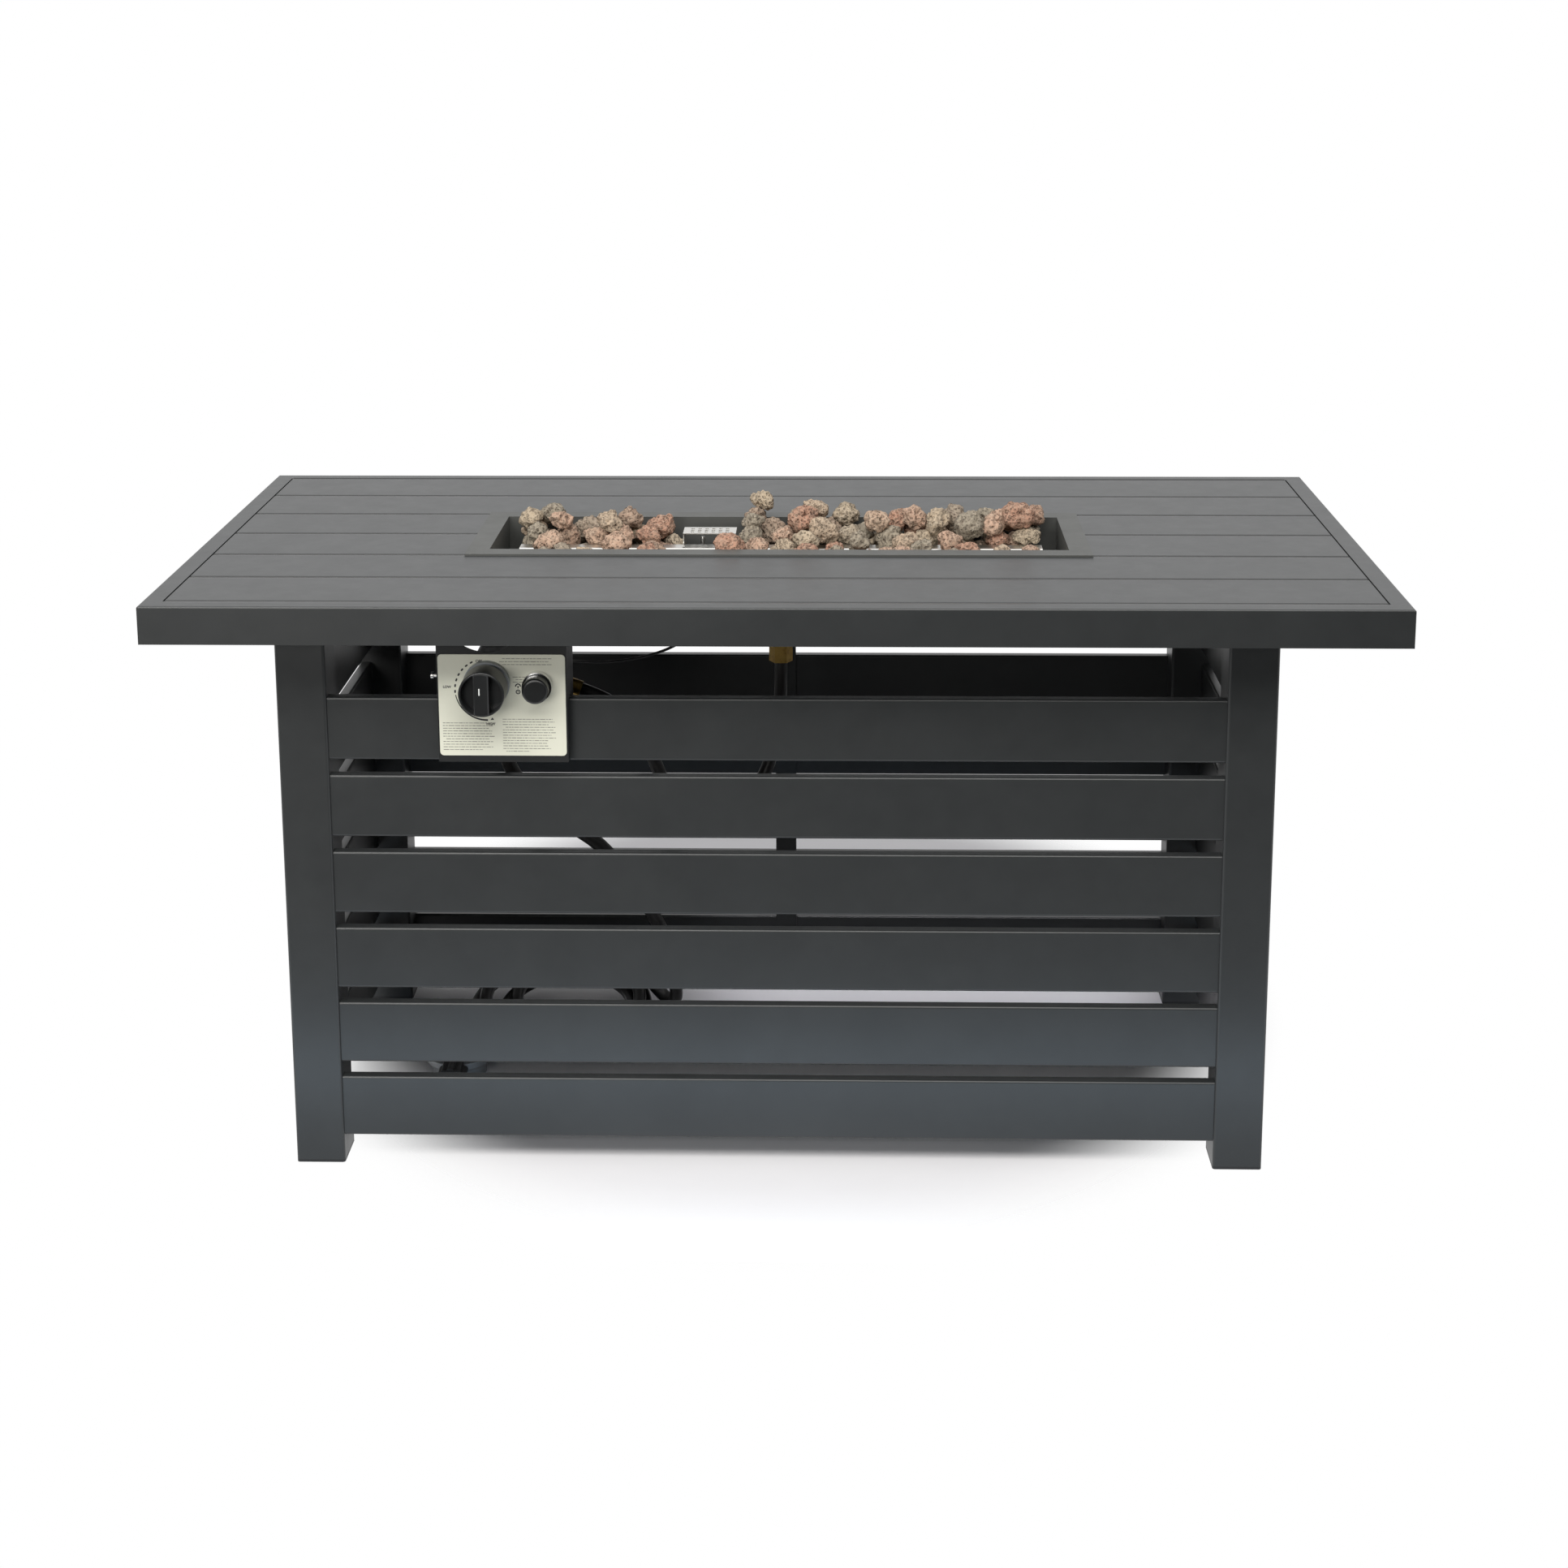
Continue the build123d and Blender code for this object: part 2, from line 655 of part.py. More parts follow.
def unit_icosahedron():
    """Corners at distance 1 from the middle, and outward faces."""
    golden = (1 + sqrt(5)) / 2
    corners = []
    for a in (-1, 1):
        for b in (-golden, golden):
            corners += [(0, a, b), (a, b, 0), (b, 0, a)]
    corners = np.array(corners) / sqrt(1 + golden**2)
    longest_edge = 3 / sqrt(1 + golden**2)
    faces = []
    for i, j, k in combinations(range(len(corners)), 3):
        a, b, c = corners[[i, j, k]]
        if max(np.linalg.norm(a - b), np.linalg.norm(b - c), np.linalg.norm(c - a)) < longest_edge:
            outward = np.dot(np.cross(b - a, c - a), a) > 0
            faces.append((i, j, k) if outward else (i, k, j))
    return corners, faces


def bar_stone(x, length, outline):
    """A bar along X with this convex outline in Y and Z, as something for the stones to land on."""
    count = len(outline)
    corners = [(x + side * length / 2, y, z) for side in (-1, 1) for y, z in outline]
    faces = []
    for i in range(count):
        j = (i + 1) % count
        faces += [(i, j, count + j), (i, count + j, count + i)]
    for i in range(1, count - 1):
        faces += [(0, i + 1, i), (count, count + i, count + i + 1)]
    return Stone(corners, faces)


def burner_outline():
    """Outline of the burner bar, with its rounded upper edges as flats."""
    half = burner_width / 2
    flat = burner_edge_radius * (2 - sqrt(2))
    right = [(half, pan_floor), (half, burner_top - flat), (half - flat, burner_top)]
    return right + [(-y, z) for y, z in reversed(right)]


def hood_outline():
    """Outline of the hood over the spark point."""
    front, back = hood_y - hood_depth / 2, hood_y + hood_depth / 2
    top = pan_floor + hood_height
    return [(back, pan_floor), (back, top), (front, top), (front, pan_floor)]


def random_stone(chance, unit):
    """A stone of random size, proportions and turn, with its middle on the origin."""
    corners, faces = unit
    jitter = np.array([[chance.uniform(-1, 1) for _ in range(3)] for _ in corners])
    corners = corners + jitter * rock_jitter_share
    corners = corners / np.linalg.norm(corners, axis=1, keepdims=True)
    size = chance.uniform(rock_size_low, rock_size_high)
    stretch = chance.uniform(*rock_stretch_shares)
    corners = corners * np.array([stretch, 1 / stretch, chance.uniform(*rock_flatness_shares)]) * size / 2
    turn, tilt = chance.uniform(0, 2 * pi), chance.uniform(-pi / 5, pi / 5)
    spin = np.array([[cos(turn), -sin(turn), 0], [sin(turn), cos(turn), 0], [0, 0, 1]])
    lean = np.array([[1, 0, 0], [0, cos(tilt), -sin(tilt)], [0, sin(tilt), cos(tilt)]])
    return Stone(corners @ (spin @ lean).T, faces)


def convex_stone(chance, unit):
    """A random stone with no dented edge."""
    while True:
        stone = random_stone(chance, unit)
        heights = stone.normals @ stone.corners.T - stone.offsets[:, None]
        if heights.max() < rock_clearance:
            return stone


def clear_of_hood(x, y, size):
    """True where a stone of this size leaves the hood, and the way to see it, open."""
    beside = abs(x - hood_x) > hood_length / 2 + size / 2
    return beside or y < -burner_width / 2 - size / 2 - hood_sight_margin


def drop_stone(chance, unit, band, lying):
    """The lowest place, out of a few tries, for a new stone on those that already lie in the pan."""
    low, high = (share * pan_inner_width for share in band)
    best = None
    tries = 0
    while tries < rock_tries:
        stone = convex_stone(chance, unit)
        half = np.abs(stone.corners).max(axis=0) + rock_clearance
        span_x = pan_inner_length / 2 - rock_end_margin - half[0]
        span_y = pan_inner_width / 2 - half[1]
        x = chance.uniform(-span_x, span_x)
        y = min(max(chance.uniform(low, high), -span_y), span_y)
        if not clear_of_hood(x, y, 2 * half[0]):
            continue
        tries += 1
        stone.move((x, y, table_height + table_height))
        grown = stone.grown(rock_clearance)
        fall = min([grown.drop_onto(other) for other in lying] + [grown.corners[:, 2].min() - pan_floor])
        stone.move((0, 0, -fall))
        if best is None or stone.corners[:, 2].mean() < best.corners[:, 2].mean():
            best = stone
    return best


def lava_rocks():
    """The bed of stones, course by course, on the floor of the pan and over the burner."""
    chance = random.Random(rock_seed)
    unit = unit_icosahedron()
    lying = [
        bar_stone(0, burner_length, burner_outline()),
        bar_stone(hood_x, hood_length, hood_outline()),
    ]
    stones = []
    for count, band in zip(rock_course_counts, rock_course_shares):
        for _ in range(count):
            stone = drop_stone(chance, unit, band, lying)
            lying.append(stone.grown(rock_clearance))
            stones.append(stone)
    print("stones", len(stones), "top", round(max(stone.corners[:, 2].max() for stone in stones), 1))
    return Compound(children=[stone.solid() for stone in stones])


def build_fire():
    """Pan, burner, what lights it, and the stones."""
    return {
        "burner_pan": burner_pan(),
        "burner_tube": burner_tube(),
        "burner_inlet": burner_inlet(),
        "feed_nut": feed_nut(),
        "ignition_hood": ignition_hood(),
        "spark_electrode": spark_electrode(),
        "flame_sensor": flame_sensor(),
        "lava_rocks": lava_rocks(),
    }


def control_box():
    """Folded sheet box, open behind and above, with a round notch in its upper edge."""
    height = box_top - box_bottom
    middle_x = box_left + box_width / 2
    outside = Pos(middle_x, box_front + box_depth / 2, box_bottom) * bar(box_width, box_depth, height)
    inside = Pos(middle_x, box_front + box_sheet + box_depth / 2, box_bottom + box_sheet) * bar(
        box_width - 2 * box_sheet, box_depth, height
    )
    notch_z = box_top - box_notch_drop + box_notch_radius
    cut = box_sheet + 2 * cut_overrun
    box = outside - inside
    box -= along_y(rod(2 * box_notch_radius, cut), valve_x, box_front - cut_overrun, notch_z)
    box -= along_y(rod(spindle_bore(), cut), valve_x, box_front - cut_overrun, valve_z)
    box -= along_y(rod(stem_hole(), cut), igniter_x, box_front - cut_overrun, igniter_z)
    screw_hole = rod(side_screw_diameter + 2 * bolt_clearance, cut)
    place = Plane(origin=(box_left - cut_overrun, side_screw_y(), side_screw_z), z_dir=(1, 0, 0))
    return box - place * screw_hole


def spindle_bore():
    """Diameter of the holes that the valve spindle runs in."""
    return spindle_diameter + 2 * spindle_clearance


def stem_hole():
    """Diameter of the holes that the stem of the igniter button passes through."""
    return igniter_stem_diameter + 2 * igniter_hole_clearance


def side_screw_y():
    """How far back the screw in the side of the control box is."""
    return box_front + side_screw_setback


def control_plate():
    """Face plate on the front of the control box."""
    face = along_y(
        extrude(RectangleRounded(plate_width, plate_height, plate_corner_radius), amount=plate_thickness),
        plate_x,
        plate_front,
        plate_z,
    )
    hole = rod(spindle_bore(), plate_thickness + 2 * cut_overrun)
    face -= along_y(hole, valve_x, plate_front - cut_overrun, valve_z)
    hole = rod(stem_hole(), plate_thickness + 2 * cut_overrun)
    return face - along_y(hole, igniter_x, plate_front - cut_overrun, igniter_z)


def outlet_plane(reach):
    """Plane across the gas outlet of the valve, at a distance from the axis of the valve."""
    slope = radians(outlet_slope_degrees)
    heading = Vector(cos(slope), 0, -sin(slope))
    origin = Vector(valve_x, valve_front + valve_port_setback + valve_nose_length, valve_z)
    return Plane(origin=origin + heading * reach, x_dir=(0, 1, 0), z_dir=heading)


def supply_port_bottom():
    """Height of the lower end of the valve's supply port."""
    return valve_z - valve_height / 2 - supply_port_length


def supply_port(length):
    """A round port or fitting under the valve, down from its own top end."""
    return Pos(valve_x, outlet_plane(0).origin.Y, 0) * Pos(Z=-length) * rod(valve_port_diameter, length)


def valve_body():
    """Gas valve: nose with the spindle's bore, block, cap for the flame sensor's magnet, two ports."""
    block = along_y(
        extrude(RectangleRounded(valve_width, valve_height, valve_edge_radius), amount=valve_length),
        valve_x,
        valve_block_front,
        valve_z,
    )
    nose = along_y(rod(valve_nose_diameter, valve_nose_length), valve_x, valve_front, valve_z)
    cap = along_y(rod(valve_cap_diameter, valve_cap_length), valve_x, valve_block_back, valve_z)
    outlet = outlet_plane(0) * rod(valve_port_diameter, outlet_port_reach)
    inlet = Pos(Z=valve_z - valve_height / 2 + supply_port_length) * supply_port(2 * supply_port_length)
    body = block + nose + cap + outlet + inlet
    return body - along_y(rod(spindle_bore(), spindle_in_valve + cut_overrun), valve_x, valve_front, valve_z)


def outlet_fitting():
    """Hose end on the outlet of the valve: a nut and a crimped sleeve."""
    nut_length = (outlet_fitting_reach - outlet_port_reach) / 3
    nut = outlet_plane(outlet_port_reach) * hexagon_bar(feed_nut_width, nut_length)
    sleeve = rod(feed_hose_diameter + 2 * box_sheet, outlet_fitting_reach - outlet_port_reach - nut_length)
    return nut + outlet_plane(outlet_port_reach + nut_length) * sleeve


def supply_fitting():
    """Hose end on the supply port: a nut and a crimped sleeve below it."""
    nut_length = supply_fitting_length / 3
    top = Pos(valve_x, outlet_plane(0).origin.Y, supply_port_bottom())
    nut = Pos(Z=-nut_length) * hexagon_bar(feed_nut_width, nut_length)
    sleeve = Pos(Z=-supply_fitting_length) * rod(
        supply_hose_diameter + 2 * box_sheet, supply_fitting_length - nut_length
    )
    return top * (nut + sleeve)


def valve_spindle():
    """Round spindle that turns and pushes in the nose of the valve."""
    back = valve_front + spindle_in_valve - knob_skirt_gap
    return along_y(rod(spindle_diameter, back - spindle_front), valve_x, spindle_front, valve_z)


def control_knob():
    """Round knob with a sunk face and a grip across it."""
    drum = along_y(rod(knob_diameter, knob_depth), valve_x, knob_front, valve_z)
    front_edges = drum.faces().sort_by(Axis.Y)[0].edges()
    drum = fillet(front_edges, knob_edge_radius)
    drum -= along_y(rod(knob_diameter - 2 * knob_rim, knob_face_recess), valve_x, knob_front, valve_z)
    grip_front = knob_front - knob_grip_proud
    grip_depth = knob_face_recess + knob_grip_proud
    grip_shape = Circle(knob_diameter / 2 - knob_rim / 2) & Rectangle(knob_grip_width, knob_diameter)
    grip = along_y(extrude(grip_shape, amount=grip_depth), valve_x, grip_front, valve_z)
    grip = chamfer(grip.faces().sort_by(Axis.Y)[0].edges(), knob_edge_radius)
    bore_length = knob_shoulder - spindle_front
    bore = along_y(rod(spindle_bore(), bore_length + cut_overrun), valve_x, spindle_front, valve_z)
    return drum + grip - bore


def ring(outer, inner, height):
    """A round collar that stands on its origin."""
    return extrude(Circle(outer / 2) - Circle(inner / 2), amount=height)


def knob_skirt():
    """Narrow skirt behind the knob, inside the collar."""
    skirt = ring(knob_skirt_diameter, spindle_bore(), knob_skirt_depth)
    return along_y(skirt, valve_x, knob_shoulder, valve_z)


def knob_collar():
    """Collar on the plate round the skirt of the knob."""
    collar = ring(collar_outer_diameter, collar_inner_diameter, collar_height)
    return along_y(collar, valve_x, plate_front - collar_height, valve_z)


def igniter_barrel():
    """Body of the igniter behind the plate, with a bore for the stem of its button."""
    barrel = along_y(rod(igniter_barrel_diameter, igniter_barrel_length), igniter_x, valve_front, igniter_z)
    bore = rod(igniter_stem_diameter + 2 * spindle_clearance, igniter_bore_depth)
    return barrel - along_y(bore, igniter_x, valve_front, igniter_z)


def igniter_collar():
    """Collar on the plate round the igniter button."""
    inner = igniter_button_diameter + 2 * igniter_collar_clearance
    collar = ring(igniter_collar_diameter, inner, igniter_collar_height)
    return along_y(collar, igniter_x, plate_front - igniter_collar_height, igniter_z)


def igniter_button():
    """Round push button with a crowned face and a stem behind."""
    cap = along_y(rod(igniter_button_diameter, igniter_button_length), igniter_x, button_front, igniter_z)
    cap = fillet(cap.faces().sort_by(Axis.Y)[0].edges(), igniter_button_crown)
    stem_length = valve_front - button_back + igniter_stem_length
    return cap + along_y(rod(igniter_stem_diameter, stem_length), igniter_x, button_back, igniter_z)


def box_screw():
    """Pan-head screw that stands out of the left side of the control box."""
    head_x = box_left - side_screw_stand_off - side_screw_head_height
    place = Plane(origin=(head_x, side_screw_y(), side_screw_z), z_dir=(1, 0, 0))
    length = side_screw_head_height + side_screw_stand_off + box_sheet + side_screw_inside
    return place * (rod(side_screw_diameter, length) + rod(side_screw_head_diameter, side_screw_head_height))


def build_controls():
    """Control box and everything on it."""
    return {
        "control_box": control_box(),
        "control_plate": control_plate(),
        "valve_body": valve_body(),
        "outlet_fitting": outlet_fitting(),
        "supply_fitting": supply_fitting(),
        "valve_spindle": valve_spindle(),
        "control_knob": control_knob(),
        "knob_skirt": knob_skirt(),
        "knob_collar": knob_collar(),
        "igniter_barrel": igniter_barrel(),
        "igniter_collar": igniter_collar(),
        "igniter_button": igniter_button(),
        "box_screw": box_screw(),
    }


def tube_along(path, diameter):
    """A round tube of full section along a path."""
    start = Plane(origin=path @ 0, z_dir=path % 0)
    return sweep(start * Circle(diameter / 2), path=path)


def carried(route, start, end):
    """A route between two ends: its points as chosen, moved along with the ends."""
    points = [Vector(*point) for point in route]
    shift_start, shift_end = start - points[0], end - points[-1]
    last = len(points) - 1
    return [
        point + shift_start * ((last - index) / last) + shift_end * (index / last)
        for index, point in enumerate(points)
    ]


def cord(name, points, diameter):
    """A hose or lead through points chosen by hand, with arcs as wide as its runs allow."""
    runs = [end - start for start, end in zip(points, points[1:])]
    radii = []
    for run, following in zip(runs, runs[1:]):
        half_turn = radians(run.get_angle(following)) / 2
        radii.append(cord_arc_share * min(run.length, following.length) / tan(half_turn))
    path = FilletPolyline(*points, radius=radii)
    tube = tube_along(path, diameter)
    share = tube.volume / (pi * diameter**2 / 4 * path.length)
    print(name, "length", round(path.length), "radii", [round(radius) for radius in radii], round(share, 4))
    return tube


def coil_plane():
    """Plane that the coil lies on, tipped up from the ground along the front of the coil."""
    tilt = radians(coil_tilt_degrees)
    front = coil_y - coil_front_radius * cos(tilt)
    return Plane(origin=(coil_x, front, 0), x_dir=(1, 0, 0), z_dir=(0, -sin(tilt), cos(tilt)))


def coil_point(turn):
    """Middle of the hose after this many turns of the coil, from its upper end."""
    angle = radians(coil_entry_degrees) + 2 * pi * turn
    inward = coil_turns / 2 - abs(turn - coil_turns / 2)
    radius = coil_outer_radius - coil_turn_step * inward
    across = coil_middle_step * inward + radius * cos(angle)
    back = coil_front_radius + radius * sin(angle)
    fallen = min(max((turn - coil_turns / 2) / coil_drop_turns + 1 / 2, 0), 1)
    height = coil_floor_gap + supply_hose_diameter / 2 + coil_layer_step * (1 - fallen)
    return coil_plane().from_local_coords(Vector(across, back, height))


def coil_heading(turn):
    """Direction of the hose at this place in the coil."""
    return (coil_point(turn + coil_heading_turns) - coil_point(turn - coil_heading_turns)).normalized()


def coil_end_heading(degrees):
    """Direction of the straight ends of the coil, where they meet its outer turns."""
    plane = coil_plane()
    return plane.y_dir * cos(radians(degrees)) - plane.x_dir * sin(radians(degrees))


def biarc(start, start_heading, end, end_heading):
    """Two arcs that join two points along the given headings."""
    chord = end - start
    lean = chord.dot(start_heading + end_heading)
    spread = 2 * (1 - start_heading.dot(end_heading))
    reach = (sqrt(lean**2 + spread * chord.dot(chord)) - lean) / spread
    middle = (start + end + (start_heading - end_heading) * reach) / 2
    first = TangentArc(start, middle, tangent=start_heading)
    return [first, TangentArc(middle, end, tangent=first % 1)]


def coil_ends():
    """Where the hose runs straight into the coil, and straight out of it."""
    entry = coil_point(0) - coil_end_heading(coil_entry_degrees) * supply_hose_diameter
    leave = coil_point(coil_turns) + coil_end_heading(coil_exit_degrees) * supply_hose_diameter
    return entry, leave


def hose_coil():
    """The coiled length of the gas hose, as one tube."""
    count = round(coil_turns * coil_arcs_a_turn)
    turns = [index * coil_turns / count for index in range(count + 1)]
    points = [coil_point(turn) for turn in turns]
    headings = [coil_heading(turn) for turn in turns]
    headings[0] = coil_end_heading(coil_entry_degrees)
    headings[-1] = coil_end_heading(coil_exit_degrees)
    entry, leave = coil_ends()
    edges = [Line(entry, points[0])]
    for index in range(count):
        edges += biarc(points[index], headings[index], points[index + 1], headings[index + 1])
    edges.append(Line(points[-1], leave))
    path = Wire(edges)
    samples = np.array([tuple(path.position_at(index / coil_samples)) for index in range(coil_samples + 1)])
    along = np.arange(len(samples)) * path.length / coil_samples
    apart = np.linalg.norm(samples[:, None] - samples[None], axis=2)
    far = np.abs(along[:, None] - along[None]) > pi * supply_hose_diameter
    gap = apart[far].min() - supply_hose_diameter
    tube = tube_along(path, supply_hose_diameter)
    share = tube.volume / (pi * supply_hose_diameter**2 / 4 * path.length)
    print("coil length", round(path.length), "least gap", round(gap, 2), round(share, 4))
    print("coil lowest", round(samples[:, 2].min() - supply_hose_diameter / 2, 2))
    return tube


def build_lines():
    """Hoses and leads."""
    entry, leave = coil_ends()
    supply_start = Vector(valve_x, outlet_plane(0).origin.Y, supply_port_bottom() - supply_fitting_length)
    before_coil = entry - coil_end_heading(coil_entry_degrees) * coil_first_run
    supply_points = [*carried(supply_route, supply_start, before_coil), entry]
    feed_start, feed_bend = [outlet_plane(outlet_fitting_reach + run).origin for run in (0, feed_first_run)]
    feed_end = Vector(0, 0, feed_nut_top - feed_nut_height)
    feed_points = [feed_start, *carried(feed_route, feed_bend, feed_end)]
    spark_start = Vector(igniter_x, valve_front + igniter_barrel_length, igniter_z)
    spark_end = Vector(electrode_x, hood_y, pan_floor - electrode_drop)
    sensor_start = Vector(valve_x, valve_block_back + valve_cap_length, valve_z)
    sensor_end = Vector(sensor_x, hood_y, pan_floor - sensor_drop)
    tail_points = [leave, tail_bend(), regulator_plane(-regulator_ferrule_reach).origin]
    spark_points = carried(spark_route, spark_start, spark_end)
    sensor_points = carried(sensor_route, sensor_start, sensor_end)
    return {
        "supply_hose_drop": cord("gas hose", supply_points, supply_hose_diameter),
        "supply_hose_coil": hose_coil(),
        "supply_hose_tail": cord("hose tail", tail_points, supply_hose_diameter),
        "burner_feed_hose": cord("feed hose", feed_points, feed_hose_diameter),
        "ignition_lead": cord("ignition lead", spark_points, lead_diameter),
        "sensor_lead": cord("sensor lead", sensor_points, sensor_lead_diameter),
    }


def tail_bend():
    """Where the end of the hose has come down to the height of the regulator's ports."""
    leave = coil_ends()[1]
    heading = coil_end_heading(coil_exit_degrees)
    return leave + heading * ((regulator_port_height - leave.Z) / heading.Z)


def regulator_plane(reach):
    """Plane across the regulator's ports, at a distance from its middle towards the hand nut."""
    bend = tail_bend()
    forward = tail_level_run + regulator_ferrule_reach + reach
    return Plane(origin=(bend.X, bend.Y - forward, bend.Z), x_dir=(0, 0, 1), z_dir=(0, -1, 0))


def regulator_body():
    """Round two-part housing with a vent on top, hose sleeve on one side and spindle on the other."""
    middle = regulator_plane(0).origin
    base = rod(2 * regulator_base_radius, regulator_base_height)
    flange = Pos(Z=regulator_base_height) * rod(2 * regulator_flange_radius, regulator_flange_height)
    flange = fillet(flange.edges().filter_by(GeomType.CIRCLE), regulator_edge_radius)
    dome_bottom = regulator_base_height + regulator_flange_height
    dome = Pos(Z=dome_bottom) * rod(2 * regulator_dome_radius, regulator_dome_height)
    dome = fillet(dome.faces().sort_by(Axis.Z)[-1].edges(), regulator_dome_height / 2)
    vent = Pos(Z=dome_bottom + regulator_dome_height) * rod(2 * regulator_vent_radius, regulator_vent_height)
    body = Pos(middle.X, middle.Y) * (base + flange + dome + vent)
    body += regulator_plane(-regulator_ferrule_reach) * rod(
        2 * regulator_ferrule_radius, regulator_ferrule_reach
    )
    return body + regulator_plane(0) * rod(2 * regulator_spindle_radius, regulator_spindle_reach)


def regulator_nut():
    """Hand nut with finger lobes that turns on the regulator's spindle."""
    shape = Circle(hand_nut_radius - hand_nut_lobe_sink)
    lobe_ring = hand_nut_radius - hand_nut_lobe_radius
    shape += [place * Circle(hand_nut_lobe_radius) for place in PolarLocations(lobe_ring, hand_nut_lobes)]
    nut = extrude(shape, amount=hand_nut_length)
    bore = rod(2 * regulator_spindle_radius + 2 * hand_nut_clearance, hand_nut_length + 2 * cut_overrun)
    start = regulator_flange_radius + hand_nut_body_gap
    return regulator_plane(start) * (nut - Pos(Z=-cut_overrun) * bore)


def build_regulator():
    """What is on the far end of the gas hose."""
    return {"regulator_body": regulator_body(), "regulator_nut": regulator_nut()}


def main():
    """Builds every piece and writes one file for each."""
    nodes = {}
    for build in (build_top, build_base, build_fire, build_controls, build_lines, build_regulator):
        nodes.update(build())
    os.makedirs("parts", exist_ok=True)
    for name, shape in nodes.items():
        export_step(shape, f"parts/{name}.step")
    print("nodes", len(nodes))


if __name__ == "__main__":
    main()
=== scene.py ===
"""Dress of the gas fire pit table, in metres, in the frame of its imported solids.

The solids keep their places and get finishes. The stones, hoses and leads are replaced by finer
forms, the joints of the deck get dark strips, and the control plate gets its printed marks. The
studio and the camera come with them.
"""

import json
import logging
import math
import random
from collections.abc import Iterable, Mapping, Sequence
from dataclasses import dataclass, field
from enum import Enum

import bmesh
import bpy
from mathutils import Matrix, Vector

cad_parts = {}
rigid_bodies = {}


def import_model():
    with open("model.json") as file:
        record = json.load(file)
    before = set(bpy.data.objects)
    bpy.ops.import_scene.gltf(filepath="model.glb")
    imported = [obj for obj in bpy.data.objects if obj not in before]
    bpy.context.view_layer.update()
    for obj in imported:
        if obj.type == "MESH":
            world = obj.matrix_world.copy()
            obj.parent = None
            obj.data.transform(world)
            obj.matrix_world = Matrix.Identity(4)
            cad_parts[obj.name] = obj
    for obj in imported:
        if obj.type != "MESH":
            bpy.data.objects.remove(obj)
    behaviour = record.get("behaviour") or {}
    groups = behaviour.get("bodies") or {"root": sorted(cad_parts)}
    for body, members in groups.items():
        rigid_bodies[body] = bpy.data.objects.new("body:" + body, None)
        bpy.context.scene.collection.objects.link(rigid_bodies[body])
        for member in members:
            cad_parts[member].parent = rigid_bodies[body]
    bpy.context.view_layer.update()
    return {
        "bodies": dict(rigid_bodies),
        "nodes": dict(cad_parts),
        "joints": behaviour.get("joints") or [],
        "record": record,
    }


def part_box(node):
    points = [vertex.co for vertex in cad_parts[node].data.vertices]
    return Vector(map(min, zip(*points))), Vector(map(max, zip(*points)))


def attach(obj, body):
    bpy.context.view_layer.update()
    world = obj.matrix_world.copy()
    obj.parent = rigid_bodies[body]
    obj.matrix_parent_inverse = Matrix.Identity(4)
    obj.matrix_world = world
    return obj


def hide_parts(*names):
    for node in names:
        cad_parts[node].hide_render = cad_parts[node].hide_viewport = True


log = logging.getLogger("fire_pit_table")

MM = 0.001
# Width of the photograph in pixels, and of the camera's sensor in millimetres.
PHOTO_WIDTH = 1932
SENSOR_WIDTH = 36.0
# Points closer than this are one point, in metres.
MERGE_DISTANCE = 0.00002
# Height of a capital letter, as a share of its font's size.
CAPITAL_SHARE = 0.7

Point = tuple[float, float, float]
Colour = tuple[float, float, float]
Flat = tuple[float, float]
Limits = tuple[float, float]


def linear(step: int) -> float:
    """A step of the sRGB scale, from 0 to 255, as linear light."""
    share = step / 255
    return share / 12.92 if share <= 0.04045 else ((share + 0.055) / 1.055) ** 2.4


def srgb(red: int, green: int, blue: int) -> Colour:
    """A colour of the sRGB scale as linear light."""
    return linear(red), linear(green), linear(blue)


def shaded(colour: Colour, factor: float) -> Colour:
    """A colour made lighter or darker by a factor."""
    return colour[0] * factor, colour[1] * factor, colour[2] * factor


class Body(Enum):
    """Bodies of the part that pieces ride on."""

    TABLE = "table"
    KNOB = "knob"


class Slot(Enum):
    """Material slots of the record."""

    FRAME_PAINT = "frame_paint"
    PAN_PAINT = "pan_paint"
    PLATE_PAINT = "plate_paint"
    STAINLESS = "stainless"
    ZINC_STEEL = "zinc_steel"
    BRIGHT_TRIM = "bright_trim"
    BRASS = "brass"
    CAST_ALLOY = "cast_alloy"
    CERAMIC = "ceramic"
    LAVA_ROCK = "lava_rock"
    KNOB_PLASTIC = "knob_plastic"
    GREY_PLASTIC = "grey_plastic"
    BLACK_PLASTIC = "black_plastic"
    HOSE_RUBBER = "hose_rubber"
    LEAD_JACKET = "lead_jacket"
    COPPER_LEAD = "copper_lead"


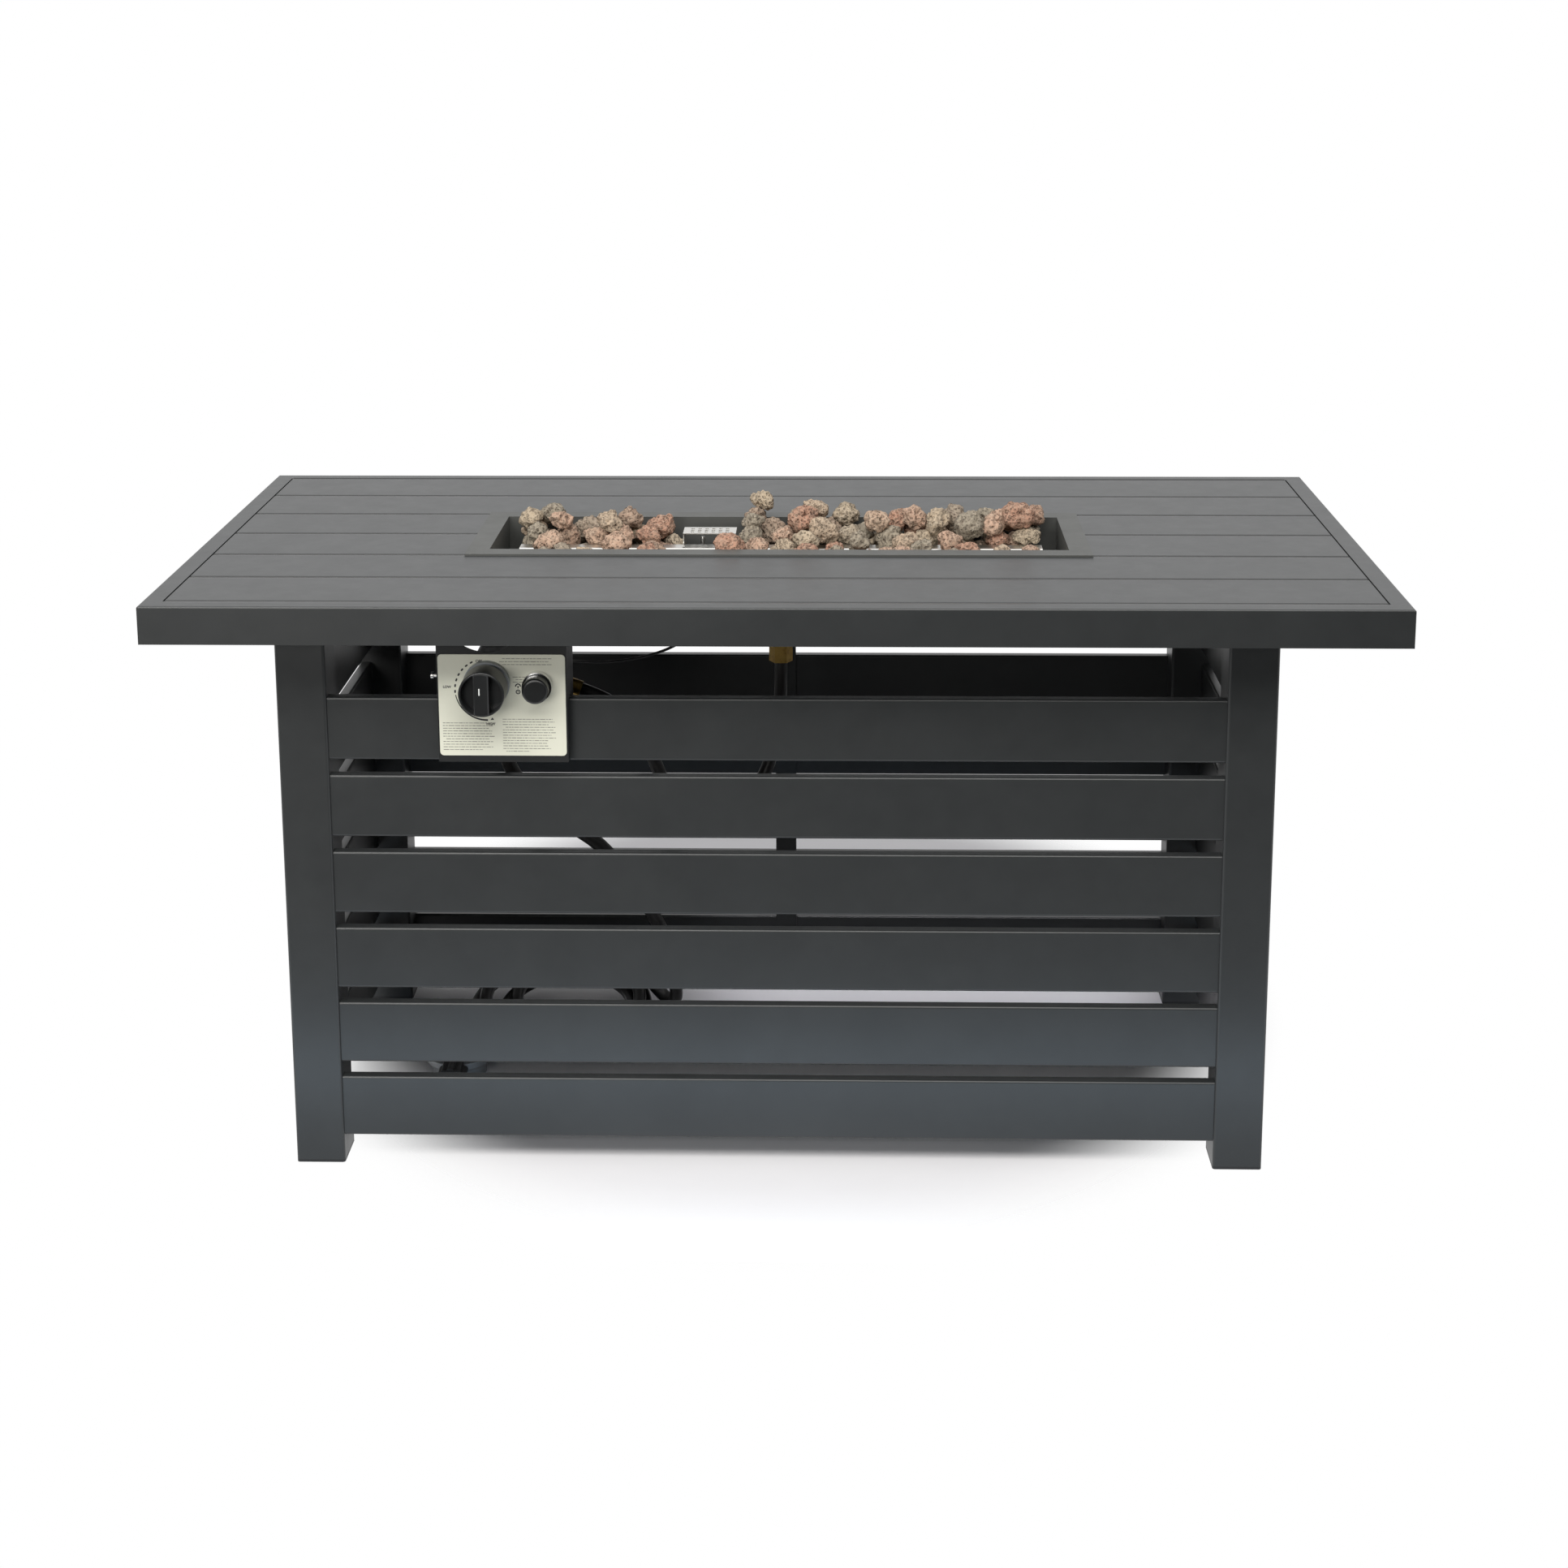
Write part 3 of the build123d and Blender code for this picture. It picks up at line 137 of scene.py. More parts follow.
class Value:
    """A node's output that takes part in arithmetic."""

    def __init__(self, graph: "Graph", socket: bpy.types.NodeSocket) -> None:
        """Wraps an output of one of the graph's nodes."""
        self.graph = graph
        self.socket = socket

    @property
    def wide(self) -> bool:
        """Whether the output is a vector or a colour."""
        return self.socket.type in {"VECTOR", "RGBA"}

    def combined(self, operation: str, first: "Operand", second: "Operand") -> "Value":
        """Adds a maths node of the right kind.

        Args:
            operation: Name of the operation.
            first: First operand.
            second: Second operand.

        Returns:
            The result.
        """
        pair = [first, second]
        kind = "ShaderNodeMath"
        if any(item.wide if isinstance(item, Value) else isinstance(item, tuple) for item in pair):
            kind = "ShaderNodeVectorMath"
            pair = [(item,) * 3 if isinstance(item, (int, float)) else item for item in pair]
        return self.graph.out(self.graph.add(kind, {"operation": operation}, dict(enumerate(pair))))

    def __add__(self, other: "Operand") -> "Value":
        """The sum."""
        return self.combined("ADD", self, other)

    def __radd__(self, other: "Operand") -> "Value":
        """The sum, from the right."""
        return self.combined("ADD", other, self)

    def __sub__(self, other: "Operand") -> "Value":
        """The difference."""
        return self.combined("SUBTRACT", self, other)

    def __rsub__(self, other: "Operand") -> "Value":
        """The difference, from the right."""
        return self.combined("SUBTRACT", other, self)

    def __mul__(self, other: "Operand") -> "Value":
        """The product."""
        return self.combined("MULTIPLY", self, other)

    def __rmul__(self, other: "Operand") -> "Value":
        """The product, from the right."""
        return self.combined("MULTIPLY", other, self)

    def __truediv__(self, other: "Operand") -> "Value":
        """The quotient."""
        return self.combined("DIVIDE", self, other)

    def __rtruediv__(self, other: "Operand") -> "Value":
        """The quotient, from the right."""
        return self.combined("DIVIDE", other, self)

    def spread(self, low: float, high: float) -> "Value":
        """The value carried from between two limits to between 0 and 1, smoothly.

        Args:
            low: Limit that becomes 0.
            high: Limit that becomes 1.

        Returns:
            The carried value.
        """
        settings = {"interpolation_type": "SMOOTHSTEP"}
        inputs = {"Value": self, "From Min": low, "From Max": high}
        return self.graph.out(self.graph.add("ShaderNodeMapRange", settings, inputs))


Operand = Value | float | int | tuple


@dataclass(frozen=True)
class Noise:
    """A cloudy pattern.

    Attributes:
        scale: Waves in a metre.
        detail: Octaves.
        roughness: Weight of the finer octaves.
    """

    scale: float
    detail: float = 2.0
    roughness: float = 0.5


class Graph:
    """Nodes of a material or of a geometry tree."""

    def __init__(self, tree: bpy.types.NodeTree) -> None:
        """Takes the tree that the nodes go into."""
        self.tree = tree

    def add(
        self,
        kind: str,
        settings: Mapping[str, object] | None = None,
        inputs: Mapping[str | int, object] | None = None,
    ) -> bpy.types.Node:
        """Adds a node, with its settings first and then its inputs.

        Args:
            kind: Type name of the node.
            settings: Properties of the node.
            inputs: Values or links of its sockets, by name, identifier or place.

        Returns:
            The node.
        """
        node = self.tree.nodes.new(kind)
        for name, setting in (settings or {}).items():
            setattr(node, name, setting)
        for key, given in (inputs or {}).items():
            self.plug(self.entry(node, key), given)
        return node

    def plug(self, socket: bpy.types.NodeSocket, given: object) -> None:
        """Links or sets a socket.

        Args:
            socket: Socket to fill.
            given: A value of the graph, or a constant.
        """
        if isinstance(given, Value):
            self.tree.links.new(given.socket, socket)
        elif socket.type == "RGBA":
            socket.default_value = (*given[:3], 1.0)
        else:
            socket.default_value = given

    @staticmethod
    def entry(node: bpy.types.Node, key: str | int) -> bpy.types.NodeSocket:
        """Finds an input socket of a node.

        Args:
            node: The node.
            key: Place, identifier or name of the socket.

        Returns:
            The socket.
        """
        if isinstance(key, int):
            return node.inputs[key]
        open_sockets = (item for item in node.inputs if item.enabled)
        return next(item for item in open_sockets if key in (item.identifier, item.name))

    def out(self, node: bpy.types.Node, name: str | None = None) -> Value:
        """An output of a node, the first one unless it is named."""
        found = next(item for item in node.outputs if item.enabled and name in (None, item.name))
        return Value(self, found)

    def noise(self, place: Value, pattern: Noise) -> Value:
        """A cloudy pattern from 0 to 1.

        Args:
            place: Coordinates.
            pattern: The pattern.

        Returns:
            The pattern's value there.
        """
        inputs = {
            "Vector": place,
            "Scale": pattern.scale,
            "Detail": pattern.detail,
            "Roughness": pattern.roughness,
        }
        return self.out(self.add("ShaderNodeTexNoise", {}, inputs))

    def cells(self, place: Value, scale: float) -> Value:
        """Distance to the nearest cell's middle, in cells, with so many cells in a metre."""
        return self.out(self.add("ShaderNodeTexVoronoi", {}, {"Vector": place, "Scale": scale}))

    def mix(self, share: Value, first: Operand, second: Operand) -> Value:
        """A colour that is between two others, by the share of the second."""
        inputs = {"Factor": share, "A": first, "B": second}
        return self.out(self.add("ShaderNodeMix", {"data_type": "RGBA"}, inputs))


class MaterialGraph(Graph):
    """Nodes of one material round a Principled shader."""

    def __init__(self, name: str) -> None:
        """Makes the material with its shader and its coordinates.

        Args:
            name: Name of the material.
        """
        self.material = bpy.data.materials.new(name)
        self.material.use_nodes = True
        super().__init__(self.material.node_tree)
        self.tree.nodes.clear()
        self.shader = self.add("ShaderNodeBsdfPrincipled")
        end = self.add("ShaderNodeOutputMaterial")
        self.tree.links.new(self.shader.outputs[0], end.inputs["Surface"])
        self.place = self.out(self.add("ShaderNodeTexCoord"), "Object")

    def set(self, **inputs: object) -> None:
        """Fills sockets of the shader.

        Args:
            **inputs: Values or links by the sockets' names, with _ for each blank.
        """
        for name, given in inputs.items():
            title = name.replace("_", " ").title().replace("Ior", "IOR")
            self.plug(self.shader.inputs[title], given)

    def along(self, axis: str) -> Value:
        """The place along the X, Y or Z axis."""
        return self.out(self.add("ShaderNodeSeparateXYZ", {}, {"Vector": self.place}), axis)

    def bump(
        self, height: Value, depth: float, strength: float = 1.0, below: Value | None = None
    ) -> Value:
        """A normal for a rough surface.

        Args:
            height: Relief from 0 to 1.
            depth: Its depth in metres.
            strength: How much of it shows.
            below: Normal that it lies on.

        Returns:
            The normal.
        """
        inputs: dict[str | int, object] = {"Height": height, "Distance": depth}
        inputs["Strength"] = strength
        if below is not None:
            inputs["Normal"] = below
        return self.out(self.add("ShaderNodeBump", {}, inputs))

    def attribute(self, name: str) -> Value:
        """A number that the mesh carries on its points."""
        return self.out(self.add("ShaderNodeAttribute", {"attribute_name": name}), "Fac")


class GeometryTree(Graph):
    """A Geometry Nodes tree with named inputs."""

    def __init__(self, name: str) -> None:
        """Makes the tree with its way in and its way out.

        Args:
            name: Name of the tree.
        """
        super().__init__(bpy.data.node_groups.new(name, "GeometryNodeTree"))
        self.sockets: dict[str, str] = {}
        for side in ("INPUT", "OUTPUT"):
            kind = "NodeSocketGeometry"
            self.tree.interface.new_socket("Geometry", in_out=side, socket_type=kind)
        self.start = self.add("NodeGroupInput")
        self.end = self.add("NodeGroupOutput")

    def input(self, name: str, kind: str) -> Value:
        """Adds a named input.

        Args:
            name: Name of the input.
            kind: Type of its socket, such as Float.

        Returns:
            Its value in the tree.
        """
        socket_type = f"NodeSocket{kind}"
        item = self.tree.interface.new_socket(name, in_out="INPUT", socket_type=socket_type)
        self.sockets[name] = item.identifier
        return self.out(self.start, name)

    def finish(self, geometry: Value, material: Value) -> None:
        """Ends the tree with real geometry in one material.

        Args:
            geometry: What was made.
            material: Its material.
        """
        real = self.out(self.add("GeometryNodeRealizeInstances", {}, {"Geometry": geometry}))
        inputs = {"Geometry": real, "Material": material}
        dressed = self.add("GeometryNodeSetMaterial", {}, inputs)
        self.plug(self.end.inputs["Geometry"], self.out(dressed))

    def applied(self, mesh: bpy.types.Mesh, **values: object) -> bpy.types.Mesh:
        """Runs the tree on a mesh.

        Args:
            mesh: Mesh that goes in.
            **values: Values of the named inputs.

        Returns:
            A plain mesh of what comes out.
        """
        holder = show(f"{self.tree.name}_holder", mesh)
        modifier = holder.modifiers.new("tree", "NODES")
        modifier.node_group = self.tree
        for name, given in values.items():
            modifier[self.sockets[name]] = given
        made = plain_mesh(holder)
        holder.modifiers.remove(modifier)
        bpy.data.objects.remove(holder)
        if made.materials[0] is None:
            made.materials.pop(index=0)
        return made


@dataclass(frozen=True)
class Finish:
    """A finish with cloudy colour, uneven gloss and a fine relief.

    Attributes:
        name: Name of the material.
        colour: Linear colour.
        roughness: Middle of its roughness.
        metallic: 1 for bare metal.
        cloud: How far the colour strays, as a share.
        uneven: How far the roughness strays.
        grain: Waves of the relief in a metre.
        depth: Depth of the relief in metres.
        specular: Strength of the reflection at normal incidence, 0.5 for common gloss.
        clouds: Pattern of the colour's clouds.
        cloud_limits: Values of the clouds that give the darkest and the palest colour.
        sheen: Pattern of the uneven gloss.
    """

    name: str
    colour: Colour
    roughness: float
    metallic: float = 0.0
    cloud: float = 0.08
    uneven: float = 0.1
    grain: float = 900.0
    depth: float = 0.00005
    specular: float = 0.5
    clouds: Noise = Noise(14.0, 4.0, 0.6)
    cloud_limits: Limits = (0.3, 0.7)
    sheen: Noise = Noise(45.0, 5.0, 0.65)

    def material(self) -> bpy.types.Material:
        """Makes the material.

        Returns:
            The material.
        """
        graph = MaterialGraph(self.name)
        graph.set(metallic=self.metallic, specular_ior_level=self.specular)
        graph.set(base_color=self.tint(graph), roughness=self.gloss(graph))
        graph.set(normal=self.relief(graph))
        return graph.material

    def tint(self, graph: MaterialGraph) -> Value:
        """Colour over the surface.

        Args:
            graph: Nodes of the material.

        Returns:
            The colour.
        """
        share = graph.noise(graph.place, self.clouds).spread(*self.cloud_limits)
        dark, light = shaded(self.colour, 1 - self.cloud), shaded(self.colour, 1 + self.cloud)
        return graph.mix(share, dark, light)

    def strayed(self, pattern: Value) -> Value:
        """Roughness that strays as a pattern does."""
        return pattern * (2 * self.uneven) + (self.roughness - self.uneven)

    def gloss(self, graph: MaterialGraph) -> Value:
        """Roughness over the surface."""
        return self.strayed(graph.noise(graph.place, self.sheen))

    def relief(self, graph: MaterialGraph) -> Value:
        """Normal over the surface."""
        return graph.bump(graph.noise(graph.place, Noise(self.grain)), self.depth)


@dataclass(frozen=True)
class PowderCoat(Finish):
    """Baked powder paint: a fine grain over a low, wide ripple, with a trace of dust.

    Attributes:
        ripple: Pattern of the ripple.
        ripple_depth: Depth of the ripple, in metres.
        grain_share: How much of the grain shows on the ripple.
        dust: Colour of the dust.
        dust_share: How much dust there is.
        dust_patches: Pattern of the dusty places.
        patch_limits: Values of that pattern between which the dust sets in.
        specks: Specks of dust in a metre.
        speck_limits: Distances from a speck's middle where it ends and where it is full.
        speck_weight: How much more dust a speck holds.
    """

    ripple: Noise = Noise(130.0, 1.0)
    ripple_depth: float = 0.00004
    grain_share: float = 0.6
    dust: Colour = (0.2, 0.2, 0.19)
    dust_share: float = 0.035
    dust_patches: Noise = Noise(9.0, 5.0, 0.7)
    patch_limits: Limits = (0.35, 0.8)
    specks: float = 700.0
    speck_limits: Limits = (0.22, 0.05)
    speck_weight: float = 4.0

    def tint(self, graph: MaterialGraph) -> Value:
        """Paint with a few paler specks in its grain.

        Args:
            graph: Nodes of the material.

        Returns:
            The colour.
        """
        speck = graph.cells(graph.place, self.specks).spread(*self.speck_limits)
        patch = graph.noise(graph.place, self.dust_patches).spread(*self.patch_limits)
        dusty = speck * patch * self.dust_share * self.speck_weight + patch * self.dust_share
        return graph.mix(dusty, super().tint(graph), self.dust)

    def grained(self, graph: MaterialGraph, below: Value | None = None) -> Value:
        """Grain on the ripple that the melted powder leaves.

        Args:
            graph: Nodes of the material.
            below: Normal that the ripple lies on.

        Returns:
            The normal.
        """
        ripple = graph.noise(graph.place, self.ripple)
        rippled = graph.bump(ripple, self.ripple_depth, below=below)
        grain = graph.noise(graph.place, Noise(self.grain))
        return graph.bump(grain, self.depth, self.grain_share, rippled)

    def relief(self, graph: MaterialGraph) -> Value:
        """Normal of the grain and the ripple."""
        return self.grained(graph)


@dataclass(frozen=True)
class HeatPaint(PowderCoat):
    """Heat-proof paint, greyed where the fire bed is.

    Attributes:
        heated: Colour of the heated part.
        heated_from: Height in metres where it starts.
        heated_blend: Height over which the colour changes.
    """

    heated: Colour = srgb(74, 75, 73)
    heated_from: float = 0.5735
    heated_blend: float = 0.001

    def tint(self, graph: MaterialGraph) -> Value:
        """Paint that is paler by the fire bed."""
        heat = graph.along("Z").spread(self.heated_from, self.heated_from + self.heated_blend)
        return graph.mix(heat, super().tint(graph), self.heated)


@dataclass(frozen=True)
class DeckPaint(PowderCoat):
    """Powder paint of the frame, with painted shade and rounded shoulders along the grooves of the
    deck.

    Attributes:
        pitch: Distance between grooves, in metres.
        reach: Half the length of the grooves.
        reach_blend: Difference of squared distances over which they end.
        level: Height above which the deck's upper faces are.
        level_blend: Height over which the deck sets in.
        shoulder: Width of a groove's shoulder.
        fall: How far a shoulder drops.
        groove_shade_kept: How much of the colour is left in a groove.
    """

    pitch: float = 0.095
    reach: float = 0.5885
    reach_blend: float = 0.002
    level: float = 0.6128
    level_blend: float = 0.0005
    shoulder: float = 0.0052
    fall: float = 0.0016
    # groove_shade_kept: How much of the colour is left in a groove under the painted shade.
    groove_shade_kept: float = 0.2

    def rise(self, graph: MaterialGraph) -> Value:
        """0 in the middle of a groove, 1 away from all grooves.

        Args:
            graph: Nodes of the material.

        Returns:
            The rise.
        """
        x, y, z = (graph.along(axis) for axis in "XYZ")
        folded = {0: y, 1: self.pitch / 2}
        aside = graph.out(graph.add("ShaderNodeMath", {"operation": "PINGPONG"}, folded))
        inside = (self.reach * self.reach - x * x).spread(0.0, self.reach_blend)
        on_deck = inside * z.spread(self.level, self.level + self.level_blend)
        return 1.0 - on_deck * aside.spread(self.shoulder, 0.0)

    def tint(self, graph: MaterialGraph) -> Value:
        """Paint with painted shade in the grooves."""
        # Painted shade: the colour darkens towards the middle of each groove.
        kept = self.rise(graph) * (1.0 - self.groove_shade_kept) + self.groove_shade_kept
        return super().tint(graph) * kept

    def relief(self, graph: MaterialGraph) -> Value:
        """Grain, on the shoulders of the grooves."""
        return self.grained(graph, graph.bump(self.rise(graph), self.fall))


@dataclass(frozen=True)
class BrushedMetal(Finish):
    """Bare metal with fine lines along one axis.

    Attributes:
        stretch: Waves of the lines in a metre along each axis.
        strokes: Pattern of the lines before they are stretched.
    """

    stretch: Point = (12.0, 700.0, 700.0)
    strokes: Noise = Noise(1.0, 3.0, 0.6)

    def lines(self, graph: MaterialGraph) -> Value:
        """The fine lines."""
        return graph.noise(graph.place * self.stretch, self.strokes)

    def gloss(self, graph: MaterialGraph) -> Value:
        """Roughness that follows the lines."""
        return self.strayed(self.lines(graph))

    def relief(self, graph: MaterialGraph) -> Value:
        """Normal that follows the lines."""
        return graph.bump(self.lines(graph), self.depth)


@dataclass(frozen=True)
class PlatedSteel(Finish):
    """Zinc plate with a faint crystal pattern.

    Attributes:
        crystal: Crystals in a metre.
    """

    crystal: float = 260.0

    def tint(self, graph: MaterialGraph) -> Value:
        """Colour that steps a little from crystal to crystal.

        Args:
            graph: Nodes of the material.

        Returns:
            The colour.
        """
        inputs = {"Vector": graph.place, "Scale": self.crystal}
        hue = graph.out(graph.add("ShaderNodeTexVoronoi", {}, inputs), "Color")
        step = graph.out(graph.add("ShaderNodeSeparateColor", {}, {"Color": hue}), "Red")
        dark, light = shaded(self.colour, 1 - self.cloud), shaded(self.colour, 1 + self.cloud)
        return graph.mix(step, dark, light)


@dataclass(frozen=True)
class AgedBrass(Finish):
    """Brass with browner stains.

    Attributes:
        stain: Colour of the stains.
        stain_share: How much a stain covers.
        stains: Pattern of the stains.
        stain_limits: Values of that pattern between which a stain sets in.
    """

    stain: Colour = srgb(120, 88, 42)
    stain_share: float = 0.5
    stains: Noise = Noise(160.0, 5.0, 0.7)
    stain_limits: Limits = (0.45, 0.75)

    def tint(self, graph: MaterialGraph) -> Value:
        """Brass under a thin, patchy tarnish."""
        stained = graph.noise(graph.place, self.stains).spread(*self.stain_limits)
        return graph.mix(stained * self.stain_share, super().tint(graph), self.stain)


@dataclass(frozen=True)
class LavaStone(Finish):
    """Porous lava: each stone with its own hue, painted shade in its pores and a dusty, crumbly
    face.

    Attributes:
        hues: Colours of the stones.
        hue_blend: How far before and after its step a hue passes into the next, in steps.
        blotch: Colour of the blotches on all stones.
        blotches: Pattern of the blotches.
        blotch_limits: Values of that pattern between which a blotch sets in.
        blotch_share: How much a blotch covers.
        ash: Colour of the crests.
        crests: Pattern of the crests.
        crest_limits: Values of that pattern between which a crest sets in.
        crest_share: How much ash a crest has.
        pore: Colour of the painted shade in the pores.
        pits: Fine pores in a metre.
        pit_limits: Distances from a pore's middle where it ends and where it is full.
        pit_patches: Pattern of the places that have fine pores.
        pit_patch_limits: Values of that pattern between which they set in.
        pit_shade_share: How dark the painted shade in the fine pores is.
        hole_shade_share: How dark the painted shade in the modelled pores is.
        pore_shade_share: How dark the painted shade in all pores is.
        pit_slope: Distances from a pore's middle between which its wall rises.
        pit_depth: Depth of the fine pores, in metres.
        crumbs: Pattern of the crumbs.
        crumb_depth: Depth of the crumbs, in metres.
        crumb_share: How much of the crumbs shows.
    """

    hues: tuple[Colour, ...] = (
        srgb(198, 164, 142),
        srgb(190, 172, 148),
        srgb(156, 146, 130),
        srgb(184, 140, 118),
    )
    hue_blend: Limits = (0.65, 0.15)
    blotch: Colour = srgb(156, 146, 130)
    blotches: Noise = Noise(90.0, 5.0, 0.7)
    blotch_limits: Limits = (0.35, 0.75)
    blotch_share: float = 0.5
    ash: Colour = srgb(222, 206, 184)
    crests: Noise = Noise(340.0, 4.0, 0.7)
    crest_limits: Limits = (0.5, 0.72)
    crest_share: float = 0.4
    pore: Colour = srgb(84, 68, 59)
    pits: float = 330.0
    pit_limits: Limits = (0.5, 0.16)
    pit_patches: Noise = Noise(120.0)
    pit_patch_limits: Limits = (0.36, 0.52)
    pit_shade_share: float = 0.45
    hole_shade_share: float = 0.75
    pore_shade_share: float = 0.8
    pit_slope: Limits = (0.1, 0.55)
    pit_depth: float = 0.0018
    crumbs: Noise = Noise(700.0, 5.0, 0.7)
    crumb_depth: float = 0.0011
    crumb_share: float = 0.9

    def stone(self, graph: MaterialGraph) -> Operand:
        """Hue of the stone, without ash and pores.

        Args:
            graph: Nodes of the material.

        Returns:
            The colour.
        """
        hue, count = graph.attribute("stone_hue"), len(self.hues)
        before, after = self.hue_blend
        colour: Operand = self.hues[0]
        for index, following in enumerate(self.hues[1:], 1):
            passed = hue.spread((index - before) / count, (index + after) / count)
            colour = graph.mix(passed, colour, following)
        return colour

    def pores(self, graph: MaterialGraph) -> Value:
        """Painted shade in the pores, fine ones and modelled ones.

        Args:
            graph: Nodes of the material.

        Returns:
            The darkness of the painted shade.
        """
        pits = graph.cells(graph.place, self.pits).spread(*self.pit_limits)
        pits = pits * graph.noise(graph.place, self.pit_patches).spread(*self.pit_patch_limits)
        fine, deep = pits * self.pit_shade_share, (self.hole_shade_share,) * 3
        return graph.mix(graph.attribute("stone_pore_shade"), fine, deep) * self.pore_shade_share

    def tint(self, graph: MaterialGraph) -> Value:
        """Hue of the stone, with blotches, ash on the crests and painted shade in the pores.

        Args:
            graph: Nodes of the material.

        Returns:
            The colour.
        """
        blotched = graph.noise(graph.place, self.blotches).spread(*self.blotch_limits)
        colour = graph.mix(blotched * self.blotch_share, self.stone(graph), self.blotch)
        crest = graph.noise(graph.place, self.crests).spread(*self.crest_limits)
        colour = graph.mix(crest * self.crest_share, colour, self.ash)
        # Painted shade: the pores are darkened in colour.
        return graph.mix(self.pores(graph), colour, self.pore)

    def relief(self, graph: MaterialGraph) -> Value:
        """Pores and crumbs.

        Args:
            graph: Nodes of the material.

        Returns:
            The normal.
        """
        walls = graph.cells(graph.place, self.pits).spread(*self.pit_slope)
        pitted = graph.bump(walls, self.pit_depth)
        crumbs = graph.noise(graph.place, self.crumbs)
        return graph.bump(crumbs, self.crumb_depth, self.crumb_share, pitted)


@dataclass(frozen=True)
class SparkCeramic(Finish):
    """Glazed ceramic whose upper end is a bare wire.

    Attributes:
        wire_from: Height in metres where the wire starts.
        wire_blend: Height below and above it over which the finish changes.
        wire: Colour of the wire.
    """

    wire_from: float = 0.5925
    wire_blend: float = 0.0002
    wire: Colour = srgb(168, 164, 156)

    def material(self) -> bpy.types.Material:
        """Makes the material, ceramic below and metal above.

        Returns:
            The material.
        """
        graph = MaterialGraph(self.name)
        low, high = self.wire_from - self.wire_blend, self.wire_from + self.wire_blend
        bare = graph.along("Z").spread(low, high)
        graph.set(base_color=graph.mix(bare, self.tint(graph), self.wire), metallic=bare)
        graph.set(roughness=self.gloss(graph), normal=self.relief(graph))
        return graph.material


@dataclass(frozen=True)
class PrintedInk(Finish):
    """Printed ink that covers a little unevenly.

    Attributes:
        thin: Pattern of the thin places.
        thin_limits: Values of that pattern between which the ink thins.
        thin_share: How thin it gets.
    """

    thin: Noise = Noise(1800.0, 3.0)
    thin_limits: Limits = (0.5, 0.85)
    thin_share: float = 0.3

    def tint(self, graph: MaterialGraph) -> Value:
        """Ink with fine thin places."""
        thin = graph.noise(graph.place, self.thin).spread(*self.thin_limits) * self.thin_share
        return graph.mix(thin, self.colour, shaded(self.colour, 1 + self.cloud))


@dataclass(frozen=True)
class PaleFloor(Finish):
    """Studio floor that passes into the white round it."""

    def faded(self, middle: Point, radii: Point, fade: Limits) -> bpy.types.Material:
        """Makes the material, see-through far from the middle.

        Args:
            middle: Middle of the part that is seen.
            radii: Its radii along the axes.
            fade: Shares of the radii where the floor starts to go and where it is gone.

        Returns:
            The material.
        """
        graph = MaterialGraph(self.name)
        share = {0: (graph.place - middle) / radii}
        far = graph.out(graph.add("ShaderNodeVectorMath", {"operation": "LENGTH"}, share), "Value")
        graph.set(base_color=self.tint(graph), roughness=self.gloss(graph))
        graph.set(specular_ior_level=self.specular, alpha=far.spread(fade[1], fade[0]))
        return graph.material


FINISHES: dict[Slot, Finish] = {
    Slot.FRAME_PAINT: DeckPaint(
        "frame_paint",
        srgb(42, 44, 45),
        0.4,
        cloud=0.07,
        uneven=0.05,
        grain=1500.0,
        specular=0.54,
        dust_share=0.02,
    ),
    Slot.PAN_PAINT: HeatPaint(
        "pan_paint", srgb(24, 25, 26), 0.5, grain=1100.0, dust_share=0.02, specular=0.4
    ),
    Slot.PLATE_PAINT: Finish(
        "plate_paint", srgb(230, 230, 214), 0.38, cloud=0.025, grain=500.0, depth=0.00002
    ),
    Slot.STAINLESS: BrushedMetal(
        "stainless", srgb(214, 212, 207), 0.3, 1.0, cloud=0.06, depth=0.00003
    ),
    Slot.ZINC_STEEL: PlatedSteel("zinc_steel", srgb(188, 188, 186), 0.34, 1.0),
    Slot.BRIGHT_TRIM: Finish(
        "bright_trim", srgb(226, 226, 226), 0.14, 1.0, cloud=0.03, uneven=0.05, grain=300.0
    ),
    Slot.BRASS: AgedBrass("brass", srgb(199, 164, 92), 0.32, 1.0),
    Slot.CAST_ALLOY: Finish(
        "cast_alloy", srgb(160, 162, 164), 0.5, 0.9, grain=800.0, depth=0.0002
    ),
    Slot.CERAMIC: SparkCeramic("ceramic", srgb(228, 224, 212), 0.28, cloud=0.04),
    Slot.LAVA_ROCK: LavaStone("lava_rock", srgb(140, 110, 94), 0.92, uneven=0.05),
    Slot.KNOB_PLASTIC: Finish(
        "knob_plastic", srgb(26, 27, 28), 0.3, uneven=0.06, grain=1800.0, depth=0.00003
    ),
    Slot.GREY_PLASTIC: Finish(
        "grey_plastic", srgb(148, 153, 158), 0.34, uneven=0.06, grain=1500.0, depth=0.00003
    ),
    Slot.BLACK_PLASTIC: Finish(
        "black_plastic", srgb(28, 28, 29), 0.48, grain=1300.0, depth=0.00008
    ),
    Slot.HOSE_RUBBER: Finish("hose_rubber", srgb(40, 39, 39), 0.33, grain=1400.0, depth=0.00004),
    Slot.LEAD_JACKET: Finish("lead_jacket", srgb(30, 30, 31), 0.4, grain=1600.0),
    Slot.COPPER_LEAD: AgedBrass(
        "copper_lead", srgb(184, 120, 82), 0.34, 1.0, stain=srgb(96, 58, 40)
    ),
}
DARK_INK = PrintedInk("dark_ink", srgb(34, 34, 34), 0.5, cloud=1.2)
PALE_INK = PrintedInk("pale_ink", srgb(140, 139, 128), 0.5, cloud=0.35)
